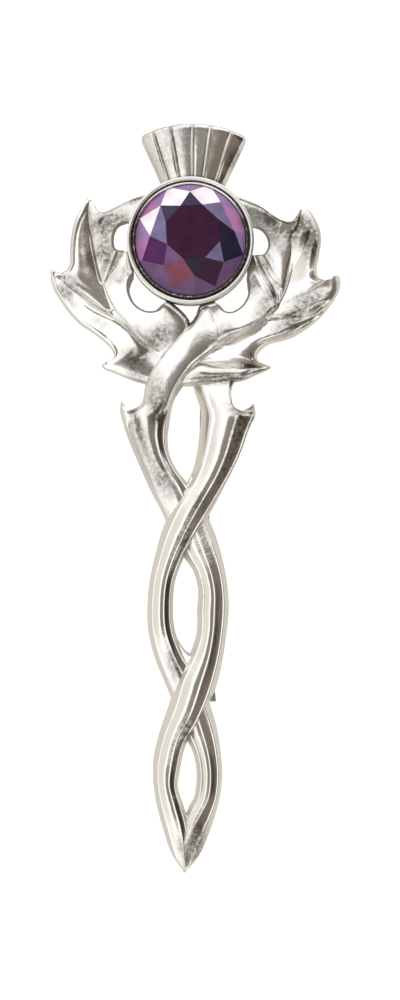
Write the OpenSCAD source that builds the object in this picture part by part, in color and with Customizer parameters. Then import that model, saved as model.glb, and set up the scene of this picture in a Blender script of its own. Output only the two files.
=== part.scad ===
// Thistle kilt pin lying on its back.
// The front faces +Z, the pleated crown points along +Y and the point along -Y.
// The origin is at the middle of the box of the whole pin, on the surface that it rests on.

/* [Overall] */
// Distance from the middle of the stone to the point of the stem
stem_len = 69.5; // [60:0.5:80]
// Distance from the middle of the stone to the top edge of the crown
crown_rise = 12.8; // [12:0.1:16]
// Distance from the long axis to the outermost tip of the left leaf
left_reach = 15.4; // [14:0.1:18]
// Distance from the long axis to the outermost tip of the right leaf
right_reach = 16.6; // [14.5:0.1:19]
// Distance from the middle of the stone down to the foot of the leaves
foot_reach = 15.4; // [14:0.1:17]

/* [Stone] */
// Diameter of the round stone at its girdle
stone_d = 12; // [10:0.1:13]
// Width of the flat table across its corners
table_d = 7.8; // [6:0.1:8.5]
// Height of the faceted top above the girdle
stone_top_h = 1.5; // [1:0.05:2]
// Height of the straight girdle band
girdle_h = 0.25; // [0.15:0.05:0.4]
// Depth of the faceted back below the girdle
stone_back_h = 1.7; // [1.2:0.05:2]

/* [Setting] */
// Thickness of the setting's wall outside the stone
setting_wall = 0.4; // [0.3:0.05:0.6]
// Thickness of the setting's floor
setting_floor = 0.4; // [0.3:0.05:0.6]
// How far the lip leans over the edge of the stone
lip_over = 0.14; // [0.1:0.02:0.3]
// Height of the lip above the girdle
lip_h = 0.35; // [0.25:0.05:0.5]
// Clearance between the stone and the setting
stone_gap = 0.06; // [0.04:0.01:0.1]
// Clearance between the setting and the collar
setting_gap = 0.06; // [0.04:0.01:0.1]

/* [Collar] */
// Thickness of the collar's wall
collar_wall = 0.44; // [0.35:0.02:0.8]
// Thickness of the metal behind the setting
collar_floor = 1.3; // [1:0.05:1.6]

/* [Leaves] */
// Height of a leaf's edge above the flat back
leaf_edge_h = 1.3; // [1:0.05:1.6]
// Extra height of the leaves where they meet the collar
leaf_shoulder_h = 1.1; // [0.6:0.05:1.6]
// Distance from the collar over which that extra height fades out
leaf_shoulder_run = 5; // [3:0.1:7]
// Height that the panels between the veins puff up
leaf_puff_h = 1.2; // [0.8:0.05:1.6]
// Width from which a panel puffs up to its full height
leaf_puff_run = 3; // [2:0.1:4]
// Depth of the hollow behind each leaf
leaf_hollow = 0.6; // [0.3:0.05:0.8]
// Width of the flat margin round that hollow
leaf_margin = 1.2; // [0.9:0.05:1.6]

/* [Stem] */
// Width of the stem across the two flared spurs
flare_w = 14.85; // [13:0.05:17]
// Height of a strand's ridge above the flat back
strand_h = 2.3; // [1.8:0.05:2.8]

/* [Crown] */
// Width of the crown across its top corners
crown_w = 11.6; // [10:0.1:13]
// Sideways place of the crown from the long axis
crown_x = 0.25; // [0:0.05:0.5]
// Height of the crown's middle flutes at the top edge, above the flat back
crown_h = 3.7; // [3:0.05:4.4]
// Height of the crown's two side edges above the flat back
crown_edge_h = 1.3; // [1:0.05:1.6]
// Number of flutes in the crown
flute_count = 6; // [4:1:8]

/* [Pin and catch] */
// Diameter of the pin's stem
pin_d = 1.2; // [1:0.05:1.5]
// Clear gap between the pin's stem and the flat back, where the cloth goes
cloth_gap = 4.4; // [4.2:0.1:6]
// Thickness of the catch's sheet, and of the feet that the pin rests on
catch_t = 0.45; // [0.4:0.05:0.7]
// Sideways place of the pin from the long axis
pin_x = 1.8; // [1:0.05:2.2]
// Distance from the middle of the stone to the middle of the hinge, towards the crown
hinge_up = 4.6; // [3:0.1:5]
// Width of the hinge block
hinge_w = 6.4; // [5:0.1:7]
// Length of the hinge block along the pin
hinge_len = 4; // [3:0.1:5]
// Distance from the point of the stem to the lower end of the catch
catch_up = 18.9; // [15:0.1:22]
// Length of the catch along the pin
catch_len = 3.5; // [3:0.1:5]
// Length of the pin's stem past the lower end of the catch
pin_past = 2.2; // [1:0.1:3]
// Gap that the solder fills between the fitting and the flat back
solder_gap = 0.05; // [0.03:0.01:0.1]

/* [Hidden] */
silver = [0.80, 0.80, 0.78];
steel = [0.62, 0.62, 0.62];
amethyst = [0.30, 0.10, 0.38];
round_sides = 64;
// How far each piece of the casting starts below the plane where it is cut flat
overlap = 0.3;
// Points that a curve gets between two rows of its table
panel_steps = 2;
strand_steps = 3;
gap_steps = 4;
// A panel reaches this far past its vein, and lies this far below the base there
seam_width = 0.3;
seam_dip = 0.12;
// Places across a panel, from the vein at 0 to the edge at 1
PANEL_STEPS = [-1, 0, 0.12, 0.3, 0.5, 0.7, 0.88, 1];
// Corners of the stone's table, and how far out from the table to the girdle the stars' points lie
stone_sides = 8;
star_share = 0.52;
// Radius and depth of the ring of corners below the girdle, as shares of the stone's radius and back
lower_r_share = 0.28;
lower_h_share = 0.74;
// Radius of the ledge in the setting that the stone's back rests over, as a share of the stone's radius
seat_share = 0.86;
// Rounding of the setting's rim and of the collar's rim, each as a share of its wall
rim_round_share = 0.45;
collar_round_share = 0.33;
// Height of the lip's inner edge as a share of the lip
lip_edge_share = 0.55;
// Length of the pin's taper and width of its point, as shares of the pin's diameter
taper_share = 2.5;
point_share = 0.15;
// Height of the hook's lip as a share of the pin's diameter above its middle
hook_rise_share = 0.6;
// How deep the pin sinks into the hook's foot, since the fitting is one piece, and how far it
// stays clear of the hook's upright
hook_grip = 0.05;
hook_gap = 0.05;

// Places that follow from the sizes
axis_x = (left_reach - right_reach) / 2;
stone_y = (stem_len - crown_rise) / 2;
tip_y = stone_y - stem_len;
pin_z = catch_t + pin_d / 2;
back_z = catch_t + pin_d + cloth_gap;
stone_r = stone_d / 2;
setting_r = stone_r + stone_gap + setting_wall;
collar_in_r = setting_r + setting_gap;
collar_r = collar_in_r + collar_wall;
cup_z = back_z + collar_floor + setting_gap;
girdle_z = cup_z + setting_floor + stone_gap + stone_back_h + girdle_h;
rim_z = girdle_z + lip_h;

// Smooth curves
function mix(a, b, t) = a + (b - a) * t;
function spline_at(a, b, c, d, t) =
    ((((3 * b - a - 3 * c + d) * t + 2 * a - 5 * b + 4 * c - d) * t + c - a) * t + 2 * b) / 2;
function row_at(rows, i) = rows[max(0, min(len(rows) - 1, i))];
function ring_at(rows, i) = rows[(i + len(rows)) % len(rows)];
function open_spline(rows, steps) = [
    for (i = [0 : len(rows) - 2], k = [0 : steps - 1])
        spline_at(row_at(rows, i - 1), rows[i], rows[i + 1], row_at(rows, i + 2), k / steps),
    rows[len(rows) - 1]
];
function closed_spline(rows, steps) = [
    for (i = [0 : len(rows) - 1], k = [0 : steps - 1])
        spline_at(ring_at(rows, i - 1), rows[i], ring_at(rows, i + 1), ring_at(rows, i + 2), k / steps)
];
function sum(values) = [for (v = values) 1] * values;
function reverse(values) = [for (k = [len(values) - 1 : -1 : 0]) values[k]];

// Panels of each leaf, every one ruled from a vein across to an edge, the collar or the stem
// Columns are the place on the vein and the place across from it, each as a distance out from the
// long axis and a height above the middle of the stone, and then how far the panel puffs up.
// Distances are in parts of a size: COLLAR_PARTS to the collar's edge, and on from there LEFT_PARTS to
// left_reach, RIGHT_PARTS to right_reach and FOOT_PARTS to foot_reach. The puff is a share of
// leaf_puff_h, and -1 marks a row that dips below the neighbouring panel.
COLLAR_PARTS = 63.3;
LEFT_PARTS = 140;
RIGHT_PARTS = 151;
FOOT_PARTS = 140;
LEFT_PANELS = [
    // Outer side of the upper lobe, from the side vein up to the tip
    [[74, -78, 128, -43, -1], [77, -74, 130, -38, 0], [82, -59, 129, -31, 0.6], [87, -44, 124, -28, 1],
        [92, -29, 121, -21, 1], [96, -13, 121, -9, 1], [99, 3, 120, 6, 0.9], [101, 17, 116, 22, 0.7],
        [103, 29, 110, 33, 0.5], [102, 37, 106, 40, 0.3], [101, 43, 103, 44, 0]],
    // Inner side of the upper lobe, from the tip down to the short vein
    [[101, 43, 100, 44, 0], [102, 37, 98, 37, 0.3], [102, 29, 94, 32, 0.5], [102, 19, 87, 30, 0.7],
        [99, 7, 78, 34, 0.8], [96, -7, 66, 40, 0.8], [94, -17, 53, 45, 0.8], [92, -26, 41, 47, 0.8],
        [90, -34, 54, 31, 0.8], [88, -40, 60, 13, 0.8], [88, -43, 61, -4, 0], [87, -47, 59, -14, -1]],
    // Inner panel, from the short vein down to the stem
    [[91, -38, 61, 3, -1], [88, -43, 61, -4, 0], [85, -53, 59, -19, 0.8], [81, -63, 53, -33, 1],
        [75, -72, 44, -45, 1], [66, -81, 32, -55, 1], [53, -92, 17, -61, 1], [42, -102, 0, -79, 0.8],
        [35, -108, 3, -93, 0.6], [28, -114, 12, -108, 0.3], [21, -120, 18, -118, 0]],
    // Lower panel, from the middle tip round the lower tip to the foot
    [[126, -34, 132, -30, 0], [129, -38, 140, -28, 0.2], [128, -40, 140, -36, 0.3],
        [121, -45, 137, -48, 0.5], [111, -52, 129, -61, 0.8], [101, -59, 121, -72, 1],
        [91, -66, 110, -83, 1], [81, -72, 98, -91, 1], [73, -77, 87, -99, 1], [65, -83, 79, -107, 1],
        [58, -90, 76, -113, 1], [52, -96, 77, -117, 0.9], [46, -102, 82, -120, 0.9],
        [42, -106, 88, -123, 0.8], [39, -109, 86, -127, 0.8], [36, -112, 74, -132, 0.9],
        [32, -116, 59, -138, 0.9], [27, -121, 46, -142, 0.7], [21, -126, 36, -145, 0.4]]
];
RIGHT_PANELS = [
    // Outer side of the upper lobe and the middle lobe, from the upper tip down to the side vein
    [[110, 34, 112, 35, 0], [110, 29, 118, 34, 0.4], [109, 21, 124, 27, 0.7], [108, 9, 130, 14, 0.9],
        [105, -3, 131, 1, 1], [103, -15, 129, -13, 1], [101, -27, 127, -25, 1], [98, -39, 129, -33, 1],
        [95, -49, 136, -36, 0.9], [92, -58, 142, -34, 0.8], [89, -65, 148, -31, 0.7],
        [87, -67, 151, -36, 0.7], [85, -69, 150, -46, 0.8], [82, -72, 145, -56, 0.8],
        [78, -75, 137, -67, 0], [75, -79, 133, -72, -1]],
    // Inner side of the upper lobe, from the tip down to the midrib's end
    [[110, 34, 108, 34, 0], [110, 30, 107, 30, 0.2], [109, 25, 104, 25, 0.4], [109, 19, 99, 22, 0.6],
        [107, 11, 90, 24, 0.8], [106, 4, 80, 30, 0.8], [104, -4, 69, 38, 0.8], [102, -12, 57, 43, 0.8],
        [100, -21, 44, 47, 0.8], [98, -30, 50, 35, 0.8], [96, -40, 57, 20, 0.8], [93, -50, 60, 5, 0.8],
        [90, -60, 61, -7, 0], [89, -64, 60, -15, -1]],
    // Inner panel, from the midrib's end down to the stem
    [[92, -56, 61, 1, -1], [90, -60, 61, -7, 0], [87, -65, 59, -19, 0.8], [83, -69, 53, -32, 1],
        [77, -75, 45, -43, 1], [68, -81, 35, -52, 1], [56, -89, 23, -58, 1], [44, -96, 10, -63, 1],
        [31, -103, 6, -73, 1], [20, -109, 0, -84, 0.9], [11, -114, -6, -97, 0.7],
        [2, -120, -13, -109, 0.4], [-7, -127, -20, -122, 0]],
    // Lower panel, from the side vein down to the lower vein
    [[80, -72, 141, -61, -1], [78, -75, 137, -67, 0], [75, -77, 128, -77, 0.8], [71, -80, 115, -87, 1],
        [65, -84, 103, -94, 1], [59, -88, 91, -98, 1], [52, -92, 80, -101, 1], [45, -96, 72, -107, 1],
        [38, -100, 68, -113, 1], [31, -103, 70, -119, 0.9], [23, -108, 75, -121, 0.8],
        [16, -112, 81, -123, 0.6], [8, -119, 81, -125, 0], [8, -123, 79, -127, -1]],
    // Roll along the foot, from the stem out to the lower tip
    [[-17, -131, -16, -139, 0.1], [-4, -125, -4, -144, 0.6], [8, -119, 11, -143, 0.9],
        [22, -121, 25, -142, 1], [36, -122, 39, -140, 1], [50, -123, 53, -138, 1],
        [62, -123, 65, -133, 0.8], [72, -124, 74, -129, 0.5], [81, -124, 82, -125, 0]]
];
// Pierced gaps between each leaf and the collar
// Columns are the direction from the middle of the stone in degrees, anticlockwise from the right,
// and the distance from the collar as a share of foot_reach, which is below 0 under the collar's wall
LEFT_GAPS = [
    [[163, -0.020], [166, 0.070], [174, 0.106], [185, 0.100], [188, 0.060], [188, -0.020], [175, -0.030]],
    [[204, -0.020], [209, 0.018], [214, 0.085], [221, 0.130], [229, 0.152], [238, 0.140], [246, 0.080],
        [247, -0.020], [235, -0.030], [218, -0.030]]
];
RIGHT_GAPS = [
    [[13, -0.020], [13, 0.050], [6, 0.102], [-2, 0.118], [-9, 0.090], [-11, 0.030], [-10, -0.020],
        [2, -0.030]],
    [[-24, -0.020], [-28, 0.020], [-41, 0.115], [-50, 0.142], [-59, 0.135], [-65, 0.085], [-66, -0.020],
        [-55, -0.030], [-38, -0.030]]
];

// Strands of the stem, each ruled across from its left edge to its right edge, from its root to the point
// Columns are the place on the left edge and the place on the right edge, each as a distance right of
// the long axis and a height above the point, and then the ridge's height as a share of strand_h.
// Distances are in parts of a size: FLARE_PARTS to flare_w and STEM_PARTS to stem_len.
FLARE_PARTS = 135;
STEM_PARTS = 632;
LEFT_STRAND = [
    // Band that comes out of the right leaf and crosses the left leaf
    [9, 564, 19, 566, 0.85], [2, 553, 15, 553, 0.95], [-15, 535, 17, 543, 1.05], [-29, 517, 14, 523, 1.12],
    [-39, 501, 1, 505, 1.14], [-44, 488, -9, 484, 1.12], [-46, 475, -15, 473, 1.08],
    // Flare
    [-49, 469, -17, 466, 1.06], [-58, 464, -18, 461, 1.05], [-68, 460, -19, 454, 1.05],
    [-66, 452, -20, 446, 1.05], [-64, 443, -21, 436, 1.03], [-56, 423, -19, 420, 0.98],
    [-47, 403, -12, 405, 0.90],
    // Under the upper crossing
    [-38, 383, -1, 391, 0.75], [-27, 363, 11, 373, 0.65], [-17, 341, 22, 353, 0.70],
    [-4, 317, 31, 330, 0.85],
    [6, 302, 38, 303, 0.97], [11, 283, 41, 283, 1.00], [10, 263, 42, 263, 1.00], [9, 243, 40, 241, 1.02],
    // Over the lower crossing
    [0, 221, 36, 213, 1.10], [-9, 198, 28, 181, 1.18], [-17, 170, 15, 153, 1.15], [-26, 143, 1, 130, 1.05],
    [-32, 118, -5, 105, 0.97], [-33, 98, -7, 85, 0.95], [-30, 73, -2, 65, 0.93], [-22, 43, 1, 45, 0.85],
    [-13, 18, 1, 20, 0.60], [-1, 0, 1, 0, 0.35]
];
RIGHT_STRAND = [
    [2, 497, 47, 497, 0.60], [5, 485, 43, 485, 0.80], [9, 473, 43, 476, 0.92],
    // Flare
    [11, 467, 45, 468, 0.98], [12, 461, 55, 463, 1.03], [12, 453, 66, 459, 1.08], [11, 443, 63, 451, 1.10],
    [10, 433, 59, 441, 1.12], [8, 419, 53, 423, 1.15],
    // Over the upper crossing
    [4, 403, 43, 401, 1.20], [-6, 383, 33, 381, 1.22], [-17, 365, 21, 359, 1.20], [-26, 343, 7, 335, 1.10],
    [-33, 317, -4, 315, 1.02], [-38, 293, -12, 292, 0.97], [-40, 268, -14, 268, 0.95],
    [-39, 243, -11, 244, 0.92],
    // Under the lower crossing
    [-33, 218, -1, 222, 0.75], [-22, 191, 12, 198, 0.62], [-11, 165, 23, 171, 0.68], [-1, 137, 31, 146, 0.82],
    [7, 121, 35, 123, 0.92], [11, 101, 37, 100, 0.95], [9, 78, 35, 77, 0.95], [2, 61, 30, 57, 0.92],
    [0, 43, 24, 39, 0.85], [-1, 20, 15, 18, 0.60], [-1, 0, 1, 0, 0.35]
];
// Cross-section of a strand
// Columns are the place from its left edge to its right edge, and the height as a share of its ridge
STRAND_SECTION = [
    [0, 0.32], [0.14, 0.62], [0.29, 0.85], [0.45, 0.97], [0.57, 1.00], [0.81, 0.68], [0.92, 0.52], [1, 0.30]
];
// Pointed spur at the top of each flare, ruled from its outer edge to the strand
// Columns are those of a strand, with the outer edge first
LEFT_SPUR = [
    [-68, 472.5, -67, 472.5, 0.30], [-69, 468.5, -64, 468.5, 0.60], [-69, 462.5, -58, 464.5, 0.80],
    [-68, 456.5, -52, 460, 0.80], [-65, 448, -55, 449, 0.65], [-60, 437, -57, 437, 0.30]
];
RIGHT_SPUR = [
    [65, 471, 64, 471, 0.30], [66, 467, 61, 467.5, 0.60], [67, 461.5, 55, 464.5, 0.80],
    [66, 456.5, 50, 460.5, 0.80], [62, 449.5, 53, 449.5, 0.65], [57, 438, 55, 438, 0.30]
];
// Cross-section of a spur, with the same columns as a strand's
SPUR_SECTION = [[0, 0.4], [0.2, 0.75], [0.45, 1], [0.7, 1], [1, 0.8]];

// Solid between a grid of points and the plane where the casting is cut flat
module ruled_solid(grid) {
    across = len(grid[0]);
    last = len(grid) - 1;
    top = [for (row = grid, p = row) p];
    count = len(top);
    // Walk once round the grid's border
    border = concat(
        [for (j = [0 : across - 1]) j],
        [for (i = [1 : last]) i * across + across - 1],
        [for (j = [across - 2 : -1 : 0]) last * across + j],
        [for (i = [last - 1 : -1 : 1]) i * across]
    );
    bottom = [for (k = border) [top[k][0], top[k][1], back_z - overlap]];
    sides = len(border);
    turn = sum([
        for (k = [0 : sides - 1])
            let (a = bottom[k], b = bottom[(k + 1) % sides])
                a[0] * b[1] - a[1] * b[0]
    ]);
    skin = [
        for (i = [0 : last - 1], j = [0 : across - 2], half = [0, 1])
            let (a = i * across + j, b = a + across)
                half == 0 ? [a, a + 1, b + 1] : [a, b + 1, b]
    ];
    walls = [
        for (k = [0 : sides - 1])
            let (n = (k + 1) % sides)
                [border[k], count + k, count + n, border[n]]
    ];
    floor_face = [for (k = [sides - 1 : -1 : 0]) count + k];
    faces = concat(skin, walls, [floor_face]);
    // The faces of a grid that runs anticlockwise are turned over, so that all point outwards
    polyhedron(concat(top, bottom), turn > 0 ? [for (face = faces) reverse(face)] : faces);
}

// Leaves
function polar(angle, radius) = [axis_x + radius * cos(angle), stone_y + radius * sin(angle)];
// Size of a part between the collar and a reach
function part_of(reach, parts) = (reach - collar_r) / (parts - COLLAR_PARTS);
// A leaf's root follows the collar, and what lies further out follows the reaches
function leaf_point(side, out, up) =
    let (
        to_collar = min(1, COLLAR_PARTS / norm([out, up])) * collar_r / COLLAR_PARTS,
        past = max(0, 1 - COLLAR_PARTS / norm([out, up])),
        part = side < 0 ? part_of(left_reach, LEFT_PARTS) : part_of(right_reach, RIGHT_PARTS)
    )
        [
            axis_x + side * out * (to_collar + past * part),
            stone_y + up * (to_collar + past * part_of(foot_reach, FOOT_PARTS))
        ];
// Rows of a panel as [place on the vein, place across, puff]
function panel_rows(side, panel) = [
    for (row = open_spline(panel, panel_steps))
        [leaf_point(side, row[0], row[1]), leaf_point(side, row[2], row[3]), row[4]]
];
// Height of a leaf's veins and edges, which rise near the collar
function leaf_base(p) =
    let (share = max(0, 1 - max(0, norm(p - [axis_x, stone_y]) - collar_r) / leaf_shoulder_run))
        back_z + leaf_edge_h + leaf_shoulder_h * share * share;
// A panel is an arch from vein to edge, lower where it is narrow, and dips past the vein
function leaf_height(p, across, width, puff_share) =
    let (
        dip = max(-puff_share, across < 0 ? 1 : 0),
        arch = sqrt(max(0, 1 - pow(2 * across - 1, 2))) * min(1, width / leaf_puff_run)
    )
        leaf_base(p) + (dip > 0 ? -seam_dip * dip : puff_share * leaf_puff_h * arch);

module leaf_panel(side, panel)
    ruled_solid([
        for (row = panel_rows(side, panel))
            let (width = norm(row[1] - row[0]))
                [
                    for (step = PANEL_STEPS)
                        let (
                            share = step < 0 ? -seam_width / max(width, seam_width) : step,
                            p = mix(row[0], row[1], share)
                        )
                            [p[0], p[1], leaf_height(p, share, width, row[2])]
                ]
    ]);

module leaf(side) {
    panels = side < 0 ? LEFT_PANELS : RIGHT_PANELS;
    difference() {
        union()
            for (panel = panels)
                leaf_panel(side, panel);
        translate([0, 0, back_z - 2 * overlap])
            linear_extrude(height = 2 * overlap + leaf_hollow)
                offset(delta = -leaf_margin)
                    for (panel = panels)
                        panel_footprint(side, panel);
        leaf_gaps(side);
    }
}

module panel_footprint(side, panel) {
    rows = panel_rows(side, panel);
    polygon(concat([for (row = rows) row[0]], [for (i = [len(rows) - 1 : -1 : 0]) rows[i][1]]));
}

module leaf_gaps(side) {
    for (gap = side < 0 ? LEFT_GAPS : RIGHT_GAPS)
        translate([0, 0, back_z - 2 * overlap])
            linear_extrude(height = leaf_edge_h + leaf_shoulder_h + leaf_puff_h + 3 * overlap)
                polygon(closed_spline(
                    [for (row = gap) polar(row[0], collar_r + row[1] * foot_reach)],
                    gap_steps
                ));
}

// Collar round the setting
module collar() {
    chamfer = collar_wall * collar_round_share;
    top = rim_z - back_z;
    translate([axis_x, stone_y, back_z])
        rotate_extrude($fn = round_sides)
            polygon([
                [0, -overlap], [collar_r, -overlap], [collar_r, top - chamfer], [collar_r - chamfer, top],
                [collar_in_r, top], [collar_in_r, collar_floor], [0, collar_floor]
            ]);
}

// Crown of flutes that fan out from the collar
// Columns are the place from the root to the top edge, and the height as a share of the crown's height
FLUTE_PROFILE = [[0, 0.74], [0.5, 0.82], [1, 1]];
flute_round = 0.8;
flute_bulge = 0.25;
// Neighbouring flutes run into each other where this is under half of their rounding
flute_inset_share = 0.4;
// How far the crown's height has dropped at its sides, from 0 for flat to 1 for a half round
crown_fall_share = 0.9;
// The crown's two sides meet this share of the stone's diameter below the middle of the stone
fan_drop_share = 0.105;
fan_r = crown_rise + stone_d * fan_drop_share;
fan_y = stone_y + crown_rise - fan_r;
fan_half = asin(crown_w / 2 / fan_r);
root_r = collar_in_r + flute_round / 2 + fan_r - crown_rise;

module crown() {
    sweep = 2 * fan_half / flute_count;
    for (k = [0 : flute_count - 1], stage = [0 : len(FLUTE_PROFILE) - 2])
        hull() {
            flute_section(k * sweep - fan_half, sweep, FLUTE_PROFILE[stage]);
            flute_section(k * sweep - fan_half, sweep, FLUTE_PROFILE[stage + 1]);
        }
}

// Height of the crown's rounded front at an angle from its middle line
function crown_height(angle) =
    let (share = min(1, abs(angle) / fan_half))
        mix(crown_edge_h, crown_h, sqrt(1 - share * share * crown_fall_share));

// Three rounded posts side by side, the middle one the tallest, for a hull to join to the next section
module flute_section(start, sweep, row) {
    radius = mix(root_r, fan_r - flute_round / 2, row[0]);
    inset = asin(flute_round * flute_inset_share / radius);
    for (place = [0, 0.5, 1]) {
        angle = start + inset + (sweep - 2 * inset) * place;
        height = crown_height(angle) * row[1] + (place == 0.5 ? flute_bulge : 0);
        translate([axis_x + crown_x * row[0] + radius * sin(angle), fan_y + radius * cos(angle), back_z]) {
            mirror([0, 0, 1])
                cylinder(d = flute_round, h = overlap, $fn = 8);
            translate([0, 0, height - flute_round / 2])
                sphere(d = flute_round, $fn = 8);
        }
    }
}

// Stem of two strands that cross twice, and the spurs of its flare
function stem_point(out, up) = [axis_x + out * flare_w / FLARE_PARTS, tip_y + up * stem_len / STEM_PARTS];

module stem_part(rows, section)
    ruled_solid([
        for (row = open_spline(rows, strand_steps))
            let (left = stem_point(row[0], row[1]), right = stem_point(row[2], row[3]))
                [
                    for (step = section)
                        let (p = mix(left, right, step[0]))
                            [p[0], p[1], back_z + step[1] * row[4] * strand_h]
                ]
    ]);

module casting() {
    color(silver)
        difference() {
            intersection() {
                union() {
                    leaf(-1);
                    leaf(1);
                    collar();
                    crown();
                    stem_part(LEFT_STRAND, STRAND_SECTION);
                    stem_part(RIGHT_STRAND, STRAND_SECTION);
                    stem_part(LEFT_SPUR, SPUR_SECTION);
                    stem_part(RIGHT_SPUR, SPUR_SECTION);
                }
                translate([-stem_len, -stem_len, back_z])
                    cube([2 * stem_len, 2 * stem_len, stem_len]);
            }
            // Bore that the setting stands in
            translate([axis_x, stone_y, back_z + collar_floor])
                cylinder(r = collar_in_r, h = stem_len, $fn = round_sides);
        }
}

// Thin cup that holds the stone by a lip turned over its edge
module setting() {
    inner_r = stone_r + stone_gap;
    seat_r = stone_r * seat_share;
    seat_z = girdle_z - girdle_h - stone_gap - (stone_r - seat_r) * stone_back_h / stone_r;
    lip_r = stone_r - lip_over;
    round_off = setting_wall * rim_round_share;
    color(silver)
        translate([axis_x, stone_y, 0])
            rotate_extrude($fn = round_sides)
                polygon([
                    [0, cup_z], [setting_r, cup_z], [setting_r, rim_z - round_off],
                    [setting_r - round_off, rim_z], [lip_r, rim_z],
                    [lip_r, girdle_z + lip_h * lip_edge_share], [inner_r, girdle_z + stone_gap],
                    [inner_r, girdle_z - girdle_h - stone_gap], [seat_r, seat_z],
                    [seat_r, cup_z + setting_floor], [0, cup_z + setting_floor]
                ]);
}

// Round stone with a flat table, kite and star facets, a girdle and a pointed back
module stone() {
    table_r = table_d / 2;
    turn = 360 / stone_sides;
    star_r = mix(table_r, stone_r, star_share);
    kite_reach = star_r * cos(turn / 2);
    star_z = stone_top_h * (stone_r - kite_reach) / (stone_r - table_r);
    lower_r = stone_r * lower_r_share;
    lower_z = -girdle_h - stone_back_h * lower_h_share;
    corner = [for (k = [0 : stone_sides - 1]) [table_r, (k + 0.5) * turn, stone_top_h]];
    star = [for (k = [0 : stone_sides - 1]) [star_r, k * turn, star_z]];
    upper = [for (k = [0 : 2 * stone_sides - 1]) [stone_r, k * turn / 2, 0]];
    under = [for (k = [0 : 2 * stone_sides - 1]) [stone_r, k * turn / 2, -girdle_h]];
    lower = [for (k = [0 : stone_sides - 1]) [lower_r, k * turn, lower_z]];
    polar_rows = concat(corner, star, upper, under, lower, [[0, 0, -girdle_h - stone_back_h]]);
    points = [for (p = polar_rows) [p[0] * cos(p[1]), p[0] * sin(p[1]), p[2]]];
    s = stone_sides;
    culet = 7 * s;
    faces = concat(
        [[for (k = [s - 1 : -1 : 0]) k]],
        [for (k = [0 : s - 1]) [k, s + k, (k + s - 1) % s]],
        [for (k = [0 : s - 1]) [k, s + (k + 1) % s, 2 * s + 2 * k + 1, s + k]],
        [for (k = [0 : s - 1]) [s + k, 2 * s + 2 * k + 1, 2 * s + 2 * k]],
        [for (k = [0 : s - 1]) [s + k, 2 * s + 2 * k, 2 * s + (2 * k + 2 * s - 1) % (2 * s)]],
        [for (k = [0 : 2 * s - 1])
            [2 * s + k, 2 * s + (k + 1) % (2 * s), 4 * s + (k + 1) % (2 * s), 4 * s + k]],
        [for (k = [0 : s - 1]) [4 * s + 2 * k, 4 * s + 2 * k + 1, 6 * s + k]],
        [for (k = [0 : s - 1]) [4 * s + 2 * k + 1, 4 * s + (2 * k + 2) % (2 * s), 6 * s + (k + 1) % s]],
        [for (k = [0 : s - 1]) [4 * s + 2 * k + 1, 6 * s + (k + 1) % s, 6 * s + k]],
        [for (k = [0 : s - 1]) [6 * s + k, 6 * s + (k + 1) % s, culet]]
    );
    color(amethyst)
        translate([axis_x, stone_y, girdle_z])
            polyhedron(points, faces);
}

// Hinge block, pin and catch, all one plain piece behind the casting
module pin_fitting() {
    top_z = back_z - solder_gap;
    x = axis_x + pin_x;
    hinge_y = stone_y + hinge_up;
    catch_y = tip_y + catch_up;
    point_y = catch_y - pin_past;
    point_len = taper_share * pin_d;
    hook_in = pin_d / 2 + catch_t + hook_gap;
    hook_floor = catch_t + hook_grip;
    hook_top = pin_z + pin_d * hook_rise_share;
    hook_out = pin_d / 2 + 2 * catch_t;
    color(steel)
        union() {
            translate([axis_x - hinge_w / 2, hinge_y - hinge_len / 2, 0])
                cube([hinge_w, hinge_len, top_z]);
            translate([x, point_y + point_len, pin_z])
                rotate([-90, 0, 0])
                    cylinder(d = pin_d, h = hinge_y - point_y - point_len, $fn = 24);
            translate([x, point_y, pin_z])
                rotate([-90, 0, 0])
                    cylinder(d1 = pin_d * point_share, d2 = pin_d, h = point_len, $fn = 24);
            translate([x, catch_y, 0])
                rotate([90, 0, 180])
                    linear_extrude(height = catch_len)
                        mirror([1, 0])
                            polygon([
                                [-hook_in, 0], [hook_out, 0], [hook_out, top_z], [-hook_out, top_z],
                                [-hook_out, top_z - catch_t], [hook_out - catch_t, top_z - catch_t],
                                [hook_out - catch_t, hook_floor], [catch_t - hook_in, hook_floor],
                                [catch_t - hook_in, hook_top], [-hook_in, hook_top]
                            ]);
        }
}

casting();
setting();
stone();
pin_fitting();
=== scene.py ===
import math

import bpy
import numpy as np
from mathutils import Matrix, Vector


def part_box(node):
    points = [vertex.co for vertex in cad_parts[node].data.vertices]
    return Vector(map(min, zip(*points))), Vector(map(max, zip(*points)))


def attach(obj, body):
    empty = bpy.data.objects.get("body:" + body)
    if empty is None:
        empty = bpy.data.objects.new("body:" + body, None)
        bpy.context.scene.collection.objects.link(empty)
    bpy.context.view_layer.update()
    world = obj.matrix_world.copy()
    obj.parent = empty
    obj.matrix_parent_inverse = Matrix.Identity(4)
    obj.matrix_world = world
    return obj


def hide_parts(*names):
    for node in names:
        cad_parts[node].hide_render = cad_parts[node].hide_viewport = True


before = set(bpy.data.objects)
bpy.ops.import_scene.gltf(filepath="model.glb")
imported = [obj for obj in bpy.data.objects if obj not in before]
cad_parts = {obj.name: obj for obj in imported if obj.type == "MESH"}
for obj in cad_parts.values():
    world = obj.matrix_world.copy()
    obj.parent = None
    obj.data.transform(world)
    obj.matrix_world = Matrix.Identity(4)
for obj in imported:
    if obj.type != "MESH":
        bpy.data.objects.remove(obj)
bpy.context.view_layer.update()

# Kilt pin: a polished casting of two thistle leaves, a collar, a pleated crown and a stem of two strands,
# with a purple stone in a thin setting and a pin and catch behind. Sizes are in millimetres until the mesh is made.
MM = 0.001
PART = 0.11  # one pixel of the photograph, the unit of the tables below


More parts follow.
